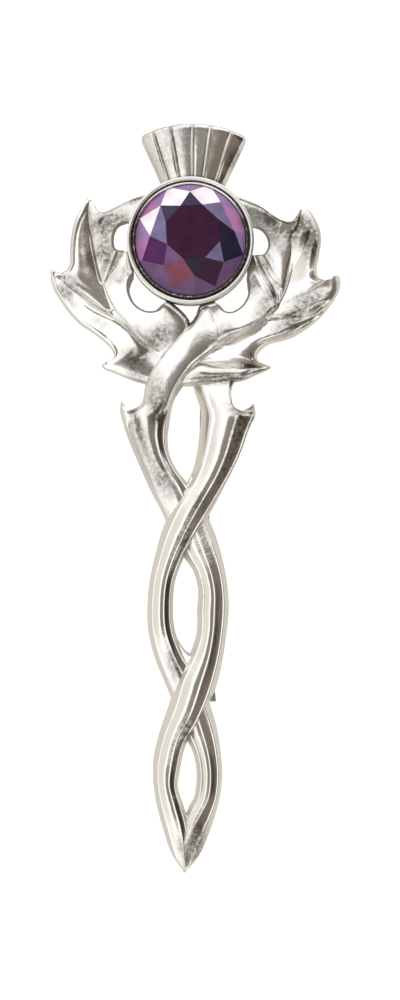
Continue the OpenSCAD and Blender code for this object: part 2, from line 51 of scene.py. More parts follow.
# ---- places from the frame
def corners(node):
    """Lowest and highest corner of a CAD node, in millimetres."""
    low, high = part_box(node)
    return np.array(low) / MM, np.array(high) / MM


CASTING_LOW = corners("casting")[0]
STONE_LOW, STONE_HIGH = corners("stone")
SETTING_LOW, SETTING_HIGH = corners("setting")
FITTING_TOP = corners("pin_fitting")[1][2]
BACK = CASTING_LOW[2]  # the casting's flat back
TIP_Y = CASTING_LOW[1]
RIM = SETTING_HIGH[2]  # top of the collar's wall
MIDDLE = (STONE_LOW[:2] + STONE_HIGH[:2]) / 2
AXIS_X, STONE_Y = MIDDLE
STONE_R = (STONE_HIGH[0] - STONE_LOW[0]) / 2
SETTING_R = (SETTING_HIGH[0] - SETTING_LOW[0]) / 2
COLLAR_IN, COLLAR_R = SETTING_R + 0.06, SETTING_R + 0.5  # inside and outside of the collar's wall
STEM_PART = (STONE_Y - TIP_Y) / 632  # one pixel along the stem: 632 of them lie between the point and the stone
STRAND_H = 2.3  # height of a strand where its table says 1
ROUND = 128  # sides of the turned forms
SATIN = 0.5  # how satin the collar's top and the lip are

# The photograph's long axis: its place at the crown's top, 125 pixels down, and its lean of 7 pixels in 748
AXIS_AT, CROWN_TOP, LEAN, LEAN_OVER = 191.5, 125, 7, 748
PHOTO_MIDDLE = (200, 500)


def at_photo(points):
    """Places on the object, in millimetres, of points of the photograph, whose long axis leans a little."""
    x, y = np.asarray(points, float).T
    across = (x - AXIS_AT + LEAN * (y - CROWN_TOP) / LEAN_OVER) * PART + AXIS_X
    return np.stack([across, (PHOTO_MIDDLE[1] - y) * PART], -1)


# ---- tables of the leaves
# Each row of a panel: place on the vein and place across from it, as distances out from the long axis and up from
# the stone's middle, then how far the panel puffs up (-1 where it dips under its neighbour) and where across,
# from the vein at 0 to the edge at 1, the crest of the puff lies: at 0.5 where it isn't said. The two bridges
# are smooth swells over the ends of the right leaf's veins, ruled from side to side.
LEFT_PANELS = {
    "upper_outer": [
        [74, -78, 128, -43, -1, 0.6], [77, -74, 130, -38, 0, 0.6], [82, -59, 129, -31, 0.35, 0.6],
        [87, -44, 124, -28, 0.45, 0.62], [92, -29, 121, -21, 0.42, 0.62], [96, -13, 121, -9, 0.4, 0.62],
        [99, 3, 120, 6, 0.38, 0.62], [101, 17, 116, 22, 0.38, 0.65], [103, 29, 111, 32, 0.4, 0.6],
        [102, 36, 107.5, 39.5, 0.3], [101, 41, 104, 43.6, 0]],
    "upper_inner": [
        [101, 41, 100, 43.4, 0], [102, 36, 96, 37, 0.3], [102, 29, 93, 32, 0.5], [102, 19, 87, 30, 0.4],
        [99, 7, 78, 34, 0.3, 0.4], [96, -7, 66, 40, 0.3, 0.4], [94, -17, 53, 45, 0.3, 0.4],
        [92, -26, 41, 47, 0.35, 0.4], [90, -34, 54, 31, 0.4, 0.4], [88, -40, 60, 13, 0.4, 0.4],
        [88, -43, 61, -4, 0, 0.4], [87, -47, 59, -14, -1, 0.4]],
    "inner": [
        [91, -38, 61, 3, -1], [88, -43, 61, -4, 0], [85, -53, 59, -19, 0.5, 0.6], [81, -63, 53, -33, 0.6, 0.8],
        [75, -72, 44, -45, 0.6, 0.82], [66, -81, 32, -55, 0.6, 0.82], [53, -92, 17, -61, 0.5, 0.8],
        [42, -102, 0, -79, 0.45, 0.75], [35, -108, 3, -93, 0.4, 0.7], [28, -114, 12, -108, 0.3],
        [21, -120, 18, -118, 0]],
    "lower": [
        [126, -34, 132, -30, 0], [129, -38, 140, -28, 0.2], [128, -40, 140, -36, 0.3], [121, -45, 137, -48, 0.5, 0.4],
        [111, -52, 129, -61, 0.8, 0.3], [101, -59, 121, -72, 1, 0.3], [91, -66, 110, -83, 1, 0.28],
        [81, -72, 98, -91, 0.95, 0.22], [73, -77, 87, -99, 0.88, 0.16], [65, -83, 79, -107, 0.8, 0.14],
        [58, -90, 76, -113, 0.7, 0.12], [52, -96, 77, -117, 0.6, 0.14], [46, -102, 82, -120, 0.45, 0.2],
        [42, -106, 88, -123, 0.35, 0.3], [39, -109, 86, -127, 0.28], [36, -112, 74, -132, 0.25],
        [32, -116, 59, -138, 0.25], [27, -121, 46, -142, 0.25], [21, -126, 36, -145, 0.2]],
}
RIGHT_PANELS = {
    "upper_outer": [
        [111, 33, 114, 36, 0], [110, 29, 119, 33.5, 0.4], [109, 21, 124, 27, 0.7, 0.6], [108, 9, 130, 14, 0.9, 0.7],
        [105, -3, 131, 1, 1, 0.7], [103, -15, 129, -13, 1, 0.7], [101, -27, 127, -25, 1, 0.75],
        [98, -39, 129, -33, 1, 0.75], [95, -49, 136, -36, 0.9, 0.8], [92, -58, 142, -34, 0.8, 0.8],
        [89, -65, 148, -31, 0.7, 0.8], [87, -67, 151, -36, 0.7, 0.8], [85, -69, 150, -46, 0.8, 0.8],
        [82, -72, 145, -56, 0.8, 0.8], [78, -75, 137, -67, 0, 0.8], [75, -79, 133, -72, -1, 0.8]],
    "upper_inner": [
        [111, 33, 110, 35, 0], [110, 30, 107, 30, 0.2], [109, 25, 104, 25, 0.4, 0.4], [109, 19, 99, 22, 0.5, 0.35],
        [107, 11, 90, 24, 0.5, 0.3], [106, 4, 80, 30, 0.45, 0.2], [104, -4, 69, 38, 0.45, 0.12],
        [102, -12, 57, 43, 0.45, 0.09], [100, -21, 44, 47, 0.45, 0.08], [98, -30, 50, 35, 0.45, 0.08],
        [96, -40, 57, 20, 0.45, 0.08], [93, -50, 60, 5, 0.45, 0.1], [90, -60, 61, -7, 0], [89, -64, 60, -15, -1]],
    "inner": [
        [92, -56, 61, 1, -1], [90, -60, 61, -7, 0], [87, -65, 59, -19, 0.6, 0.1], [83, -69, 53, -32, 0.7, 0.09],
        [77, -75, 45, -43, 0.8, 0.09], [68, -81, 35, -52, 0.9, 0.09], [56, -89, 23, -58, 0.9, 0.12],
        [44, -96, 10, -63, 0.85, 0.2], [31, -103, 6, -73, 0.7, 0.25], [20, -109, 0, -84, 0.9],
        [11, -114, -6, -97, 0.7], [2, -120, -13, -109, 0.4], [-7, -127, -20, -122, 0]],
    "lower": [
        [80, -72, 141, -61, -1, 0.7], [78, -75, 137, -67, 0, 0.7], [75, -77, 128, -77, 0.8, 0.6],
        [71, -80, 115, -87, 1, 0.65], [65, -84, 103, -94, 0.95, 0.65], [59, -88, 91, -98, 0.85, 0.6],
        [52, -92, 80, -101, 0.8, 0.6], [45, -96, 72, -107, 0.8, 0.6], [38, -100, 68, -113, 0.85, 0.6],
        [31, -103, 70, -119, 0.85, 0.6], [23, -108, 75, -121, 0.8, 0.6], [16, -112, 81, -123, 0.6, 0.6],
        [8, -119, 81, -125, 0, 0.6], [8, -123, 79, -127, -1, 0.6]],
    "roll": [
        [-17, -131, -16, -139, 0.1], [-4, -125, -4, -144, 0.6], [8, -119, 11, -143, 0.9], [22, -121, 25, -142, 1],
        [36, -122, 39, -140, 1], [50, -123, 53, -138, 1], [62, -123, 65, -133, 0.8], [72, -124, 74, -129, 0.5],
        [81, -124, 82, -125, 0]],
    "upper_bridge": [
        [109, 23, 118, 26, 0], [106, 17, 123, 21, 0.5], [100, 11, 127, 14, 0.75], [95, 5, 129, 6, 0.8],
        [95, -3, 127, -2, 0.7], [96, -11, 123, -10, 0.52], [98, -20, 119, -19, 0.3], [100, -30, 115, -29, 0.1],
        [102, -38, 112, -38, 0]],
    "lower_bridge": [
        [103, -64, 103, -84, 0], [110, -59, 110, -86, 0.35], [117, -56, 117, -82, 0.65], [124, -53, 125, -76, 0.85],
        [131, -50, 132, -70, 0.85], [137, -49, 138, -63, 0.5], [141, -52, 142, -58, 0]],
}
# Pierced gaps beside the collar: direction from the stone's middle in degrees, and distance out from the collar
GAPS = [
    [[163, -2.8], [166, 9.8], [174, 14.8], [185, 14], [188, 8.4], [188, -2.8], [175, -4.2]],
    [[204, -2.8], [209, 2.5], [214, 11.9], [221, 18.2], [229, 21.3], [238, 19.6], [246, 11.2], [247, -2.8],
     [235, -4.2], [218, -4.2]],
    [[13, -2.8], [13, 7], [6, 14.3], [-2, 16.5], [-9, 12.6], [-11, 4.2], [-10, -2.8], [2, -4.2]],
    [[-24, -2.8], [-28, 2.8], [-41, 16.1], [-50, 19.9], [-59, 18.9], [-65, 11.9], [-66, -2.8], [-55, -4.2],
     [-38, -4.2]],
]
# Raised veins: points of the photograph that each one passes, and its width and height at its root if unusual
VEINS = [
    ([(159, 352), (150, 346), (135, 333), (125, 322), (115, 310), (108, 297), (103, 284)], 0.36, 0.14),
    ([(103, 285), (110, 270), (115, 263)],),
    ([(103, 286), (100, 283), (95, 265), (91, 245), (90, 236)],),
    ([(114, 311), (107, 311), (100, 308), (85, 298), (72, 287), (60, 279)], 0.32, 0.12),
    ([(182, 369), (190, 362), (200, 355), (215, 347), (232, 338), (250, 328), (264, 318), (273, 309), (278, 300),
      (277, 290), (272, 280), (268, 274)], 0.36, 0.14),
    ([(266, 317), (280, 313), (291, 312), (299, 311)],),
    ([(182, 370), (200, 361.5), (215, 364.5), (236, 366.5)],),
    ([(278, 302), (284, 293), (289, 278), (292, 264), (292, 250)],),
    ([(206.5, 357), (206.5, 342), (205.5, 327)],),
]

# ---- tables of the stem
# Each row: place on the left edge and on the right edge, as distances right of the long axis and up from the point,
# then the ridge's height as a share of STRAND_H and its place from the left edge at 0 to the right edge at 1.
LEFT_STRAND = [
    [9, 564, 21, 566, 0.85, 0.45], [2, 553, 25, 553, 0.95, 0.45], [-15, 535, 28, 543, 1.05, 0.5],
    [-29, 517, 26, 525, 1.12, 0.55], [-39, 501, 9, 507, 1.14, 0.62], [-44, 488, -9, 484, 1.12, 0.72],
    [-46, 475, -15, 473, 1.08, 0.76], [-49, 469, -17, 466, 1.06, 0.76], [-58, 464, -18, 461, 1.05, 0.76],
    [-68, 460, -19, 454, 1.05, 0.76], [-66, 452, -20, 446, 1.05, 0.76], [-64, 443, -21, 436, 1.03, 0.76],
    [-56, 423, -19, 420, 0.98, 0.76], [-47, 403, -12, 405, 0.9, 0.76], [-38, 383, -1, 391, 0.75, 0.76],
    [-27, 363, 11, 373, 0.65, 0.7], [-17, 341, 22, 353, 0.7, 0.62], [-4, 317, 31, 330, 0.85, 0.56],
    [6, 302, 38, 303, 0.97, 0.56], [11, 283, 41, 283, 1, 0.56], [10, 263, 42, 263, 1, 0.56],
    [10, 243, 40, 241, 1.02, 0.56], [4, 222, 36, 213, 1.1, 0.58], [-9, 198, 28, 181, 1.18, 0.62],
    [-17, 170, 15, 153, 1.15, 0.67], [-26, 143, 1, 130, 1.05, 0.67], [-32, 118, -5, 105, 0.97, 0.67],
    [-33, 98, -7, 85, 0.95, 0.67], [-30, 73, -1, 66, 0.94, 0.68],
    [-22, 43, 4, 45, 0.85, 0.7], [-13, 18, 4, 20, 0.6, 0.72], [-1, 0, 1, 0, 0.35, 0.5],
]
RIGHT_STRAND = [
    [2, 497, 47, 497, 0.6, 0.88], [5, 485, 43, 485, 0.8, 0.9], [9, 473, 43, 476, 0.92, 0.92],
    [11, 467, 45, 468, 0.98, 0.95], [12, 461, 55, 463, 1.03, 0.83], [12, 453, 66, 459, 1.08, 0.68],
    [11, 443, 63, 451, 1.1, 0.68], [10, 433, 59, 441, 1.12, 0.68], [8, 419, 53, 423, 1.15, 0.68],
    [4, 403, 43, 401, 1.2, 0.68], [-6, 383, 33, 381, 1.22, 0.66], [-17, 365, 21, 359, 1.2, 0.66],
    [-26, 343, 7, 335, 1.1, 0.67], [-33, 317, -4, 315, 1.02, 0.67], [-38, 293, -12, 292, 0.97, 0.67],
    [-40, 268, -14, 268, 0.95, 0.67], [-39, 243, -12, 244, 0.92, 0.67], [-33, 218, -3, 221, 0.75, 0.67],
    [-22, 191, 12, 198, 0.62, 0.62], [-11, 165, 23, 171, 0.68, 0.56], [-1, 137, 31, 146, 0.82, 0.56],
    [7, 121, 35, 123, 0.92, 0.56], [11, 101, 37, 100, 0.95, 0.56], [9, 77, 35, 77, 0.95, 0.56],
    [3, 65, 31, 60, 0.92, 0.5], [-3, 45, 24, 39, 0.85, 0.36], [-4, 20, 15, 18, 0.6, 0.2],
    [-1, 0, 1, 0, 0.35, 0.5],
]
# Spurs of the flare, outer edge first, with a strand's columns
SPURS = [
    [[-68, 472.5, -67, 472.5, 0.3], [-69, 468.5, -64, 468.5, 0.6], [-69, 462.5, -58, 464.5, 0.8],
     [-68, 456.5, -52, 460, 0.8], [-65, 448, -55, 449, 0.65], [-60, 437, -57, 437, 0.3]],
    [[65, 471, 64, 471, 0.3], [66, 467, 61, 467.5, 0.6], [67, 461.5, 55, 464.5, 0.8],
     [66, 456.5, 50, 460.5, 0.8], [62, 449.5, 53, 449.5, 0.65], [57, 438, 55, 438, 0.3]],
]
# Webs that round off the lower end of each opening: an outline in the photograph's points
WEBS = [
    [(176.7, 479), (179.9, 482.2), (183.7, 483.8), (186.9, 482.9), (189.5, 479), (192, 472.6), (193, 484), (188, 493),
     (180, 490), (174, 480)],
    [(178, 640), (180.5, 644.5), (183.7, 649), (187.5, 653), (191, 654.1), (193.6, 652.2), (195.6, 646), (198, 650),
     (193, 664), (187, 669), (180, 660), (176, 645)],
    [(177.5, 803), (180, 808.5), (183, 812.3), (186.3, 813.8), (190, 812.6), (193, 809), (195.5, 803), (198, 808),
     (193, 822), (187, 834), (181, 824), (176, 808)],
]
# Half of a strand's section on each side of its ridge: place from the edge (0) to the ridge (1), and the height
# as a share of the ridge. The left half is a steep flank, a fine ledge, a slope that eases off to a level
# strip and a fine burr along the ridge; the right half is a flat face, a rounded rim and a steep flank.
LEFT_SECTION = [
    [0, 0.12], [0.04, 0.26], [0.12, 0.46], [0.21, 0.63], [0.29, 0.745], [0.32, 0.757], [0.355, 0.763], [0.4, 0.8],
    [0.48, 0.862], [0.55, 0.91], [0.62, 0.95], [0.69, 0.977], [0.75, 0.988], [0.8, 0.987], [0.86, 0.981],
    [0.92, 0.975], [0.955, 0.98], [1, 1]]
RIGHT_SECTION = [
    [0, 1], [0.07, 0.985], [0.12, 0.965], [0.25, 0.924], [0.4, 0.878], [0.51, 0.845], [0.55, 0.842], [0.59, 0.852],
    [0.63, 0.857], [0.67, 0.842], [0.7, 0.79], [0.75, 0.68], [0.82, 0.51], [0.91, 0.29], [1, 0.12]]
# Patches of uneven cast skin and painted shade: middle in the photograph, half the length, half the width, the
# way the length runs in degrees, and how dark it is
UNEVEN_SKIN_AND_SHADE = [
    (168, 150, 40, 26, 90, 0.36), (236, 160, 10, 14, 80, 0.7), (110, 224, 25, 13, 15, 0.95),
    (103, 247, 13, 8, 75, 0.75), (117, 250, 10, 8, 0, 0.6), (108, 265, 13, 6, 70, 0.6), (126, 272, 8, 6, 0, 0.5),
    (120, 281, 5, 4, 0, 0.6), (138, 198, 15, 6, 20, 0.85), (87, 214, 6, 5, 90, 0.6), (91, 262, 16, 4, -70, 0.7),
    (161, 337, 21, 13, 30, 0.9), (172, 308, 14, 7, 70, 0.6), (136, 360, 16, 12, -15, 0.7),
    (138, 377, 12, 7, -20, 0.5), (76, 284, 13, 7, -40, 0.7), (66, 293, 10, 6, -50, 0.85),
    (311, 245, 18, 8, 85, 0.95), (308, 226, 17, 9, -60, 0.8), (260, 212, 20, 9, -40, 0.7),
    (280, 222, 15, 11, -40, 0.85), (261, 264, 14, 9, -30, 0.65), (268, 300, 26, 8, 58, 0.75),
    (224, 332, 13, 8, 30, 0.5), (306, 304, 25, 11, 35, 0.85), (288, 326, 20, 9, 20, 0.6),
    (250, 365, 13, 7, -25, 0.9), (243, 420, 34, 8, 68, 0.85), (228, 463, 26, 7, 62, 0.6),
    (211, 500, 26, 6, 64, 0.35), (218, 378, 34, 7, 2, 0.85), (157, 404, 28, 9, 85, 0.9), (136, 418, 28, 4, -75, 0.7),
    (150, 457, 46, 12, -65, 0.45), (166, 482, 18, 10, -70, 0.5), (186, 538, 24, 6, 75, 0.7),
    (200, 502, 14, 6, 64, 0.6), (174, 664, 20, 7, -75, 0.7), (186, 730, 16, 7, 75, 0.9), (196, 842, 24, 9, 78, 0.95),
    (181, 846, 14, 5, -75, 0.5), (236, 406, 13, 7, 68, 0.6), (101, 258, 8, 6, 0, 0.6), (180, 391, 9, 6, 80, 0.5),
    (292, 230, 20, 12, 85, 0.85)]


# ---- curves and shells
def curve(rows, steps, closed=False):
    """Rows of a table joined by a smooth curve through all of them, with `steps` points to each gap.

    A cubic between two rows takes its slope at each from the rows beside it, weighed by how far off they are (the
    square root of the distance between rows), so uneven rows make no loops."""
    rows = np.asarray(rows, float)
    if closed:
        rows = np.vstack([rows[-2:], rows, rows[:3]])
    else:
        rows = np.vstack([[2 * rows[0] - rows[1]], rows, [2 * rows[-1] - rows[-2]]])
    places = rows[:, : min(4, rows.shape[1])]
    gap = np.sqrt(np.maximum(np.linalg.norm(np.diff(places, axis=0), axis=1), 1e-3))[:, None]
    chord = np.diff(rows, axis=0) / gap
    across = (rows[2:] - rows[:-2]) / (gap[1:] + gap[:-1])
    slope = chord[:-1] - across + chord[1:]
    first, last = (2, len(rows) - 3) if closed else (1, len(rows) - 2)
    t = np.linspace(0, 1, steps, endpoint=False)[None, :, None]
    i = np.arange(first, last)
    a, b = rows[i][:, None], rows[i + 1][:, None]
    ma, mb = (slope[i - 1] * gap[i])[:, None], (slope[i] * gap[i])[:, None]
    out = (2 * t**3 - 3 * t**2 + 1) * a + (t**3 - 2 * t**2 + t) * ma + (3 * t**2 - 2 * t**3) * b + (t**3 - t**2) * mb
    out = out.reshape(-1, rows.shape[1])
    return out if closed else np.vstack([out, rows[-2:-1]])


def quarter(share):
    """Height of a quarter of a circle, 0 to 1, at that share of the way in."""
    return np.sqrt(1 - (1 - share) ** 2)


def bell(away, middle, width):
    return np.exp(-(((away - middle) / width) ** 2))


def ease(share):
    """0 to 1 with a level start and a level end."""
    return share * share * (3 - 2 * share)


def left_of(ahead):
    """Unit vectors to the left of directions on the plane."""
    return np.stack([-ahead[:, 1], ahead[:, 0]], -1) / np.linalg.norm(ahead, axis=1, keepdims=True)


def signed_area(outline):
    """Twice the area inside a flat outline, below zero where it runs clockwise."""
    x, y = outline.T
    return np.sum(x * np.roll(y, -1) - np.roll(x, -1) * y)


def walls(low, high):
    """Four-cornered faces from closed rings of point numbers over to the rings beside them."""
    return np.stack([low, np.roll(low, -1, -1), np.roll(high, -1, -1), high], -1).reshape(-1, 4)


OTHER_WAY = [0, 3, 2, 1]  # turns such a face over and keeps its first corner


def shell(p, z, floor):
    """Closed skin over a grid of places p: a top at the heights z, a floor below it and the wall round both."""
    n, m = z.shape
    points = np.vstack([np.dstack([p, level]).reshape(-1, 3) for level in (z, np.broadcast_to(floor, z.shape))])
    k = np.arange(n * m).reshape(n, m)
    quads = np.stack([k[:-1, :-1], k[:-1, 1:], k[1:, 1:], k[1:, :-1]], -1).reshape(-1, 4)
    ring = np.hstack([k[0, :-1], k[:-1, -1], k[-1, :0:-1], k[:0:-1, 0]])
    faces = np.vstack([quads, quads[:, ::-1] + n * m, walls(ring, ring + n * m)[:, OTHER_WAY]])
    a, b, c, d = (points[quads[:, i], :2] for i in range(4))
    turn = np.sum((c[:, 0] - a[:, 0]) * (d[:, 1] - b[:, 1]) - (d[:, 0] - b[:, 0]) * (c[:, 1] - a[:, 1]))
    return points, faces if turn > 0 else faces[:, ::-1]


def spun(profile, sides):
    """A closed profile of (radius, height) carried round the upright axis through the stone's middle. Points on the
    axis are drawn as one point."""
    radius, height = np.asarray(profile, float).T
    angle = np.arange(sides) * 2 * math.pi / sides
    ring = np.stack([np.outer(radius, np.cos(angle)) + AXIS_X, np.outer(radius, np.sin(angle)) + STONE_Y,
                     np.repeat(height[:, None], sides, 1)], -1)
    k = np.arange(len(radius) * sides).reshape(-1, sides)
    points, place = np.unique(np.round(ring.reshape(-1, 3), 6), axis=0, return_inverse=True)
    faces = [list(dict.fromkeys(f)) for f in place.reshape(-1)[walls(k, np.roll(k, -1, axis=0))].tolist()]
    return points, [f for f in faces if len(f) > 2]


def stacked(points, rings, turned):
    """Skin over points in closed rings one after another, with flat ends."""
    k = np.arange(len(points)).reshape(rings, -1)
    faces = walls(k[:-1], k[1:]).tolist() + [k[0, ::-1].tolist(), k[-1].tolist()]
    return points, [f[::-1] for f in faces] if turned else faces


def extruded(outline, start, end, along):
    """A closed outline carried straight from start to end along one axis (0, 1 or 2), with flat ends."""
    outline = np.asarray(outline, float)
    points = np.vstack([np.insert(outline, along, place, axis=1) for place in (start, end)])
    return stacked(points, 2, (signed_area(outline) > 0) == (along == 1))


# ---- meshes and objects
def mesh_of(name, points, faces):
    """A mesh in metres from points in millimetres and a list or array of faces."""
    mesh = bpy.data.meshes.new(name)
    faces = faces.tolist() if isinstance(faces, np.ndarray) else faces
    mesh.from_pydata((np.asarray(points) * MM).tolist(), [], faces)
    mesh.validate()
    mesh.update()
    return mesh


def add(name, mesh):
    """An object at the origin with that mesh."""
    piece = bpy.data.objects.new(name, mesh)
    bpy.context.scene.collection.objects.link(piece)
    return piece


def combine(piece, others, operation):
    """Joins closed skins to a piece, cuts them out of it, or keeps what lies in both, one after another."""
    for points, faces in others:
        tool = add("tool", mesh_of("tool", points, faces))
        step = piece.modifiers.new("step", "BOOLEAN")
        step.operation, step.solver, step.object = operation, "MANIFOLD", tool
        graph = bpy.context.evaluated_depsgraph_get()
        made = bpy.data.meshes.new_from_object(piece.evaluated_get(graph))
        piece.modifiers.clear()
        old, piece.data = piece.data, made
        bpy.data.meshes.remove(old)
        bpy.data.objects.remove(tool)


def smooth(mesh, degrees):
    """Smooth shading, with edges kept crisp where two faces meet at more than that angle."""
    mesh.shade_smooth()
    mesh.set_sharp_from_angle(angle=math.radians(degrees))


def points_of(mesh):
    """The points of a mesh, in millimetres."""
    p = np.empty(len(mesh.vertices) * 3, np.float32)
    mesh.vertices.foreach_get("co", p)
    return p.reshape(-1, 3) / MM


def face_middles(mesh):
    return np.array([f.center for f in mesh.polygons]) / MM


def mark(mesh, name, values):
    """Gives each point of a mesh a number, for its material to read."""
    mesh.attributes.new(name, "FLOAT", "POINT").data.foreach_set("value", values.astype(np.float32))


def second_material(mesh, chosen):
    mesh.polygons.foreach_set("material_index", chosen.astype(np.int32))


# ---- leaves
PLATE = 1.3  # height of the leaves' edges and of the collar's disc above the back
EDGE_AT = np.array([0, 0.02, 0.05, 0.09, 0.14, 0.2, 0.27, 0.35, 0.44, 0.54, 0.66, 0.8])  # a panel's points in from
VEIN_AT = np.array([0.5, 0.34, 0.2, 0.1, 0])  # its edge, and out from its vein
EDGE_ROUND, EDGE_DROP = 0.32, 0.95  # width and height of the quarter of an ellipse along an edge
EDGE_LINE = 0.05  # height of the fine rim along an edge, and depth of the groove inside it
OVERLAP, DIP = 0.3, 0.12  # how far a panel goes on past its vein, and how deep it dips there
HOLLOW_FROM, HOLLOW_SLOPE, HOLLOW_DEEP = 1.2, 0.5, 0.6  # the hollow behind a leaf
LEAST = 0.3  # least thickness of a leaf
VEIN_FOOT = 0.7  # a vein's wire starts inside the leaf, over the hollow
TINY = 1e-6
# Wall of a pierced gap: height above the back, and distance out from the gap's outline
GAP_WALL = [[-0.6, -0.34], [0, -0.34], [0.6, -0.2], [1.2, -0.06], [1.7, 0.04], [2.1, 0.12], [2.6, 0.25], [4.2, 0.25]]
GAP_UPRIGHT = 6  # beside the collar, over this many parts, it leans less


def past_collar(p):
    """How far out from the collar's outer wall places lie."""
    return np.linalg.norm(p[..., :2] - MIDDLE, axis=-1) - COLLAR_R


def leaf_base(p):
    """Height of a leaf's veins and edges: PLATE above the back, and more at the collar, fading over 5 mm: 0.6 mm on
    the left leaf and 0.1 mm on the right one."""
    shoulder = 0.35 - 0.25 * np.clip((p[..., 0] - AXIS_X) / 2, -1, 1)
    return BACK + PLATE + shoulder * np.clip(1 - np.maximum(past_collar(p), 0) / 5, 0, 1) ** 2


def leaf_panel(side, rows):
    """Surface ruled from a vein across to an edge.

    With s the place across and c the crest's place, the height is the base's plus puff * 4q(1 - q), where
    q = s(1 - c) / (s(1 - 2c) + c). At the edge it bends down by a quarter of an ellipse behind a fine raised rim.
    Past the vein it dips, to lie under its neighbour. The back is hollowed out behind it."""
    rows = curve([[*row, 0.5][:6] for row in rows], steps=7)
    out = PART * np.array([side, 1])
    vein_side, edge = MIDDLE + rows[:, 0:2] * out, MIDDLE + rows[:, 2:4] * out
    puff, crest = rows[:, 4:5], rows[:, 5:6]
    span = edge - vein_side
    width = np.linalg.norm(span, axis=1, keepdims=True)
    fit = np.minimum(1, width / 2)
    outer, inner = EDGE_AT * fit, width - VEIN_AT * fit
    share = np.linspace(0, 1, 15)[1:-1]
    middle = outer[:, -1:] * (1 - share) + inner[:, :1] * share
    away = np.hstack([outer, middle, inner, width + OVERLAP * fit])  # distance from the edge
    s = np.clip(1 - away / np.maximum(width, TINY), 0, 1)
    p = edge[:, None] - (span / np.maximum(width, TINY))[:, None] * away[:, :, None]
    q = s * (1 - crest) / np.maximum(s * (1 - 2 * crest) + crest, TINY)
    height = np.maximum(puff, 0) * 4 * q * (1 - q) * np.minimum(1, width / 3)
    dip = np.maximum(np.clip(-puff, 0, 1), away > width + TINY)
    drop = EDGE_DROP * (1 - quarter(np.clip(away / (EDGE_ROUND * np.maximum(fit, 0.2)), 0, 1)))
    rim = EDGE_LINE * bell(away, 0.42, 0.12) - EDGE_LINE * bell(away, 0.68, 0.14)
    z = leaf_base(p) + height * (1 - dip) - DIP * dip - drop + rim * fit
    floor = BACK + HOLLOW_DEEP * ease(np.clip((away - HOLLOW_FROM) / HOLLOW_SLOPE, 0, 1))
    return shell(p, z, np.minimum(floor, z - LEAST))


def gap_tool(rows):
    """Cutter for a pierced gap: a closed curve whose wall leans out from the back to the front, as GAP_WALL says."""
    rows = curve(rows, steps=8, closed=True)
    angle, radius = np.radians(rows[:, 0]), COLLAR_R + rows[:, 1] * PART
    line = MIDDLE + radius[:, None] * np.stack([np.cos(angle), np.sin(angle)], -1)
    area = signed_area(line)
    outward = -np.sign(area) * left_of(np.roll(line, -1, axis=0) - np.roll(line, 1, axis=0))
    outward *= np.clip(rows[:, 1:2] / GAP_UPRIGHT, 0, 1)
    points = np.vstack([np.insert(line + outward * out, 2, BACK + up, axis=1) for up, out in GAP_WALL])
    return stacked(points, len(GAP_WALL), area < 0)


def vein(places, width=0.3, height=0.1):
    """Fine raised wire along a vein: a half-round section that tapers to its tip and stands in the valley."""
    line = curve(at_photo(places), steps=8)
    along = np.linspace(0, 1, len(line))
    taper = (np.sqrt(np.clip(1 - along, 0, 1)) * 0.75 + 0.25)[:, None] * np.minimum(1, along * 12 + 0.4)[:, None]
    turn = np.linspace(-1, 1, 9)
    p = line[:, None] + left_of(np.gradient(line, axis=0))[:, None] * (turn * width / 2 * taper)[:, :, None]
    z = leaf_base(line)[:, None] + 0.10 + height * taper * np.sqrt(1 - turn**2) - 0.25 * np.abs(turn) ** 6
    return shell(p, z, BACK + VEIN_FOOT)


# ---- collar, crown and stem
def collar():
    """Disc behind the setting with a thin upright wall, its top rounded on both sides."""
    bend = np.linspace(0, math.pi, 9)
    half = (COLLAR_R - COLLAR_IN) / 2
    rise = half * 0.8
    rounded = np.stack([COLLAR_IN + half + half * np.cos(bend), RIM - rise + rise * np.sin(bend)], -1)
    disc = BACK + PLATE
    return spun(np.vstack([[[0, BACK], [COLLAR_R, BACK]], rounded, [[COLLAR_IN, disc], [0, disc]]]), ROUND)


FAN_ANGLES = [-25, -18.7, -10.6, -0.4, 7.9, 17.5, 25]  # sides and grooves of the crown, measured from its own axis
FAN_IN, FAN_R = 5.3, 14.06  # radii of the crown's foot and of its top edge
FAN_X, FAN_Y = AXIS_X + 0.25, STONE_Y + 12.8 - FAN_R  # where its sides would meet
GROOVE_DEEP, GROOVE_HALF = 0.3, 0.2
BEVEL, BEVEL_DEEP = 0.4, 0.32  # width and depth of the bevel along the top edge
FAN_SIDE, FAN_SIDE_DROP, FAN_CORNER = 0.4, 0.7, 0.6  # rounding of its sides and corners


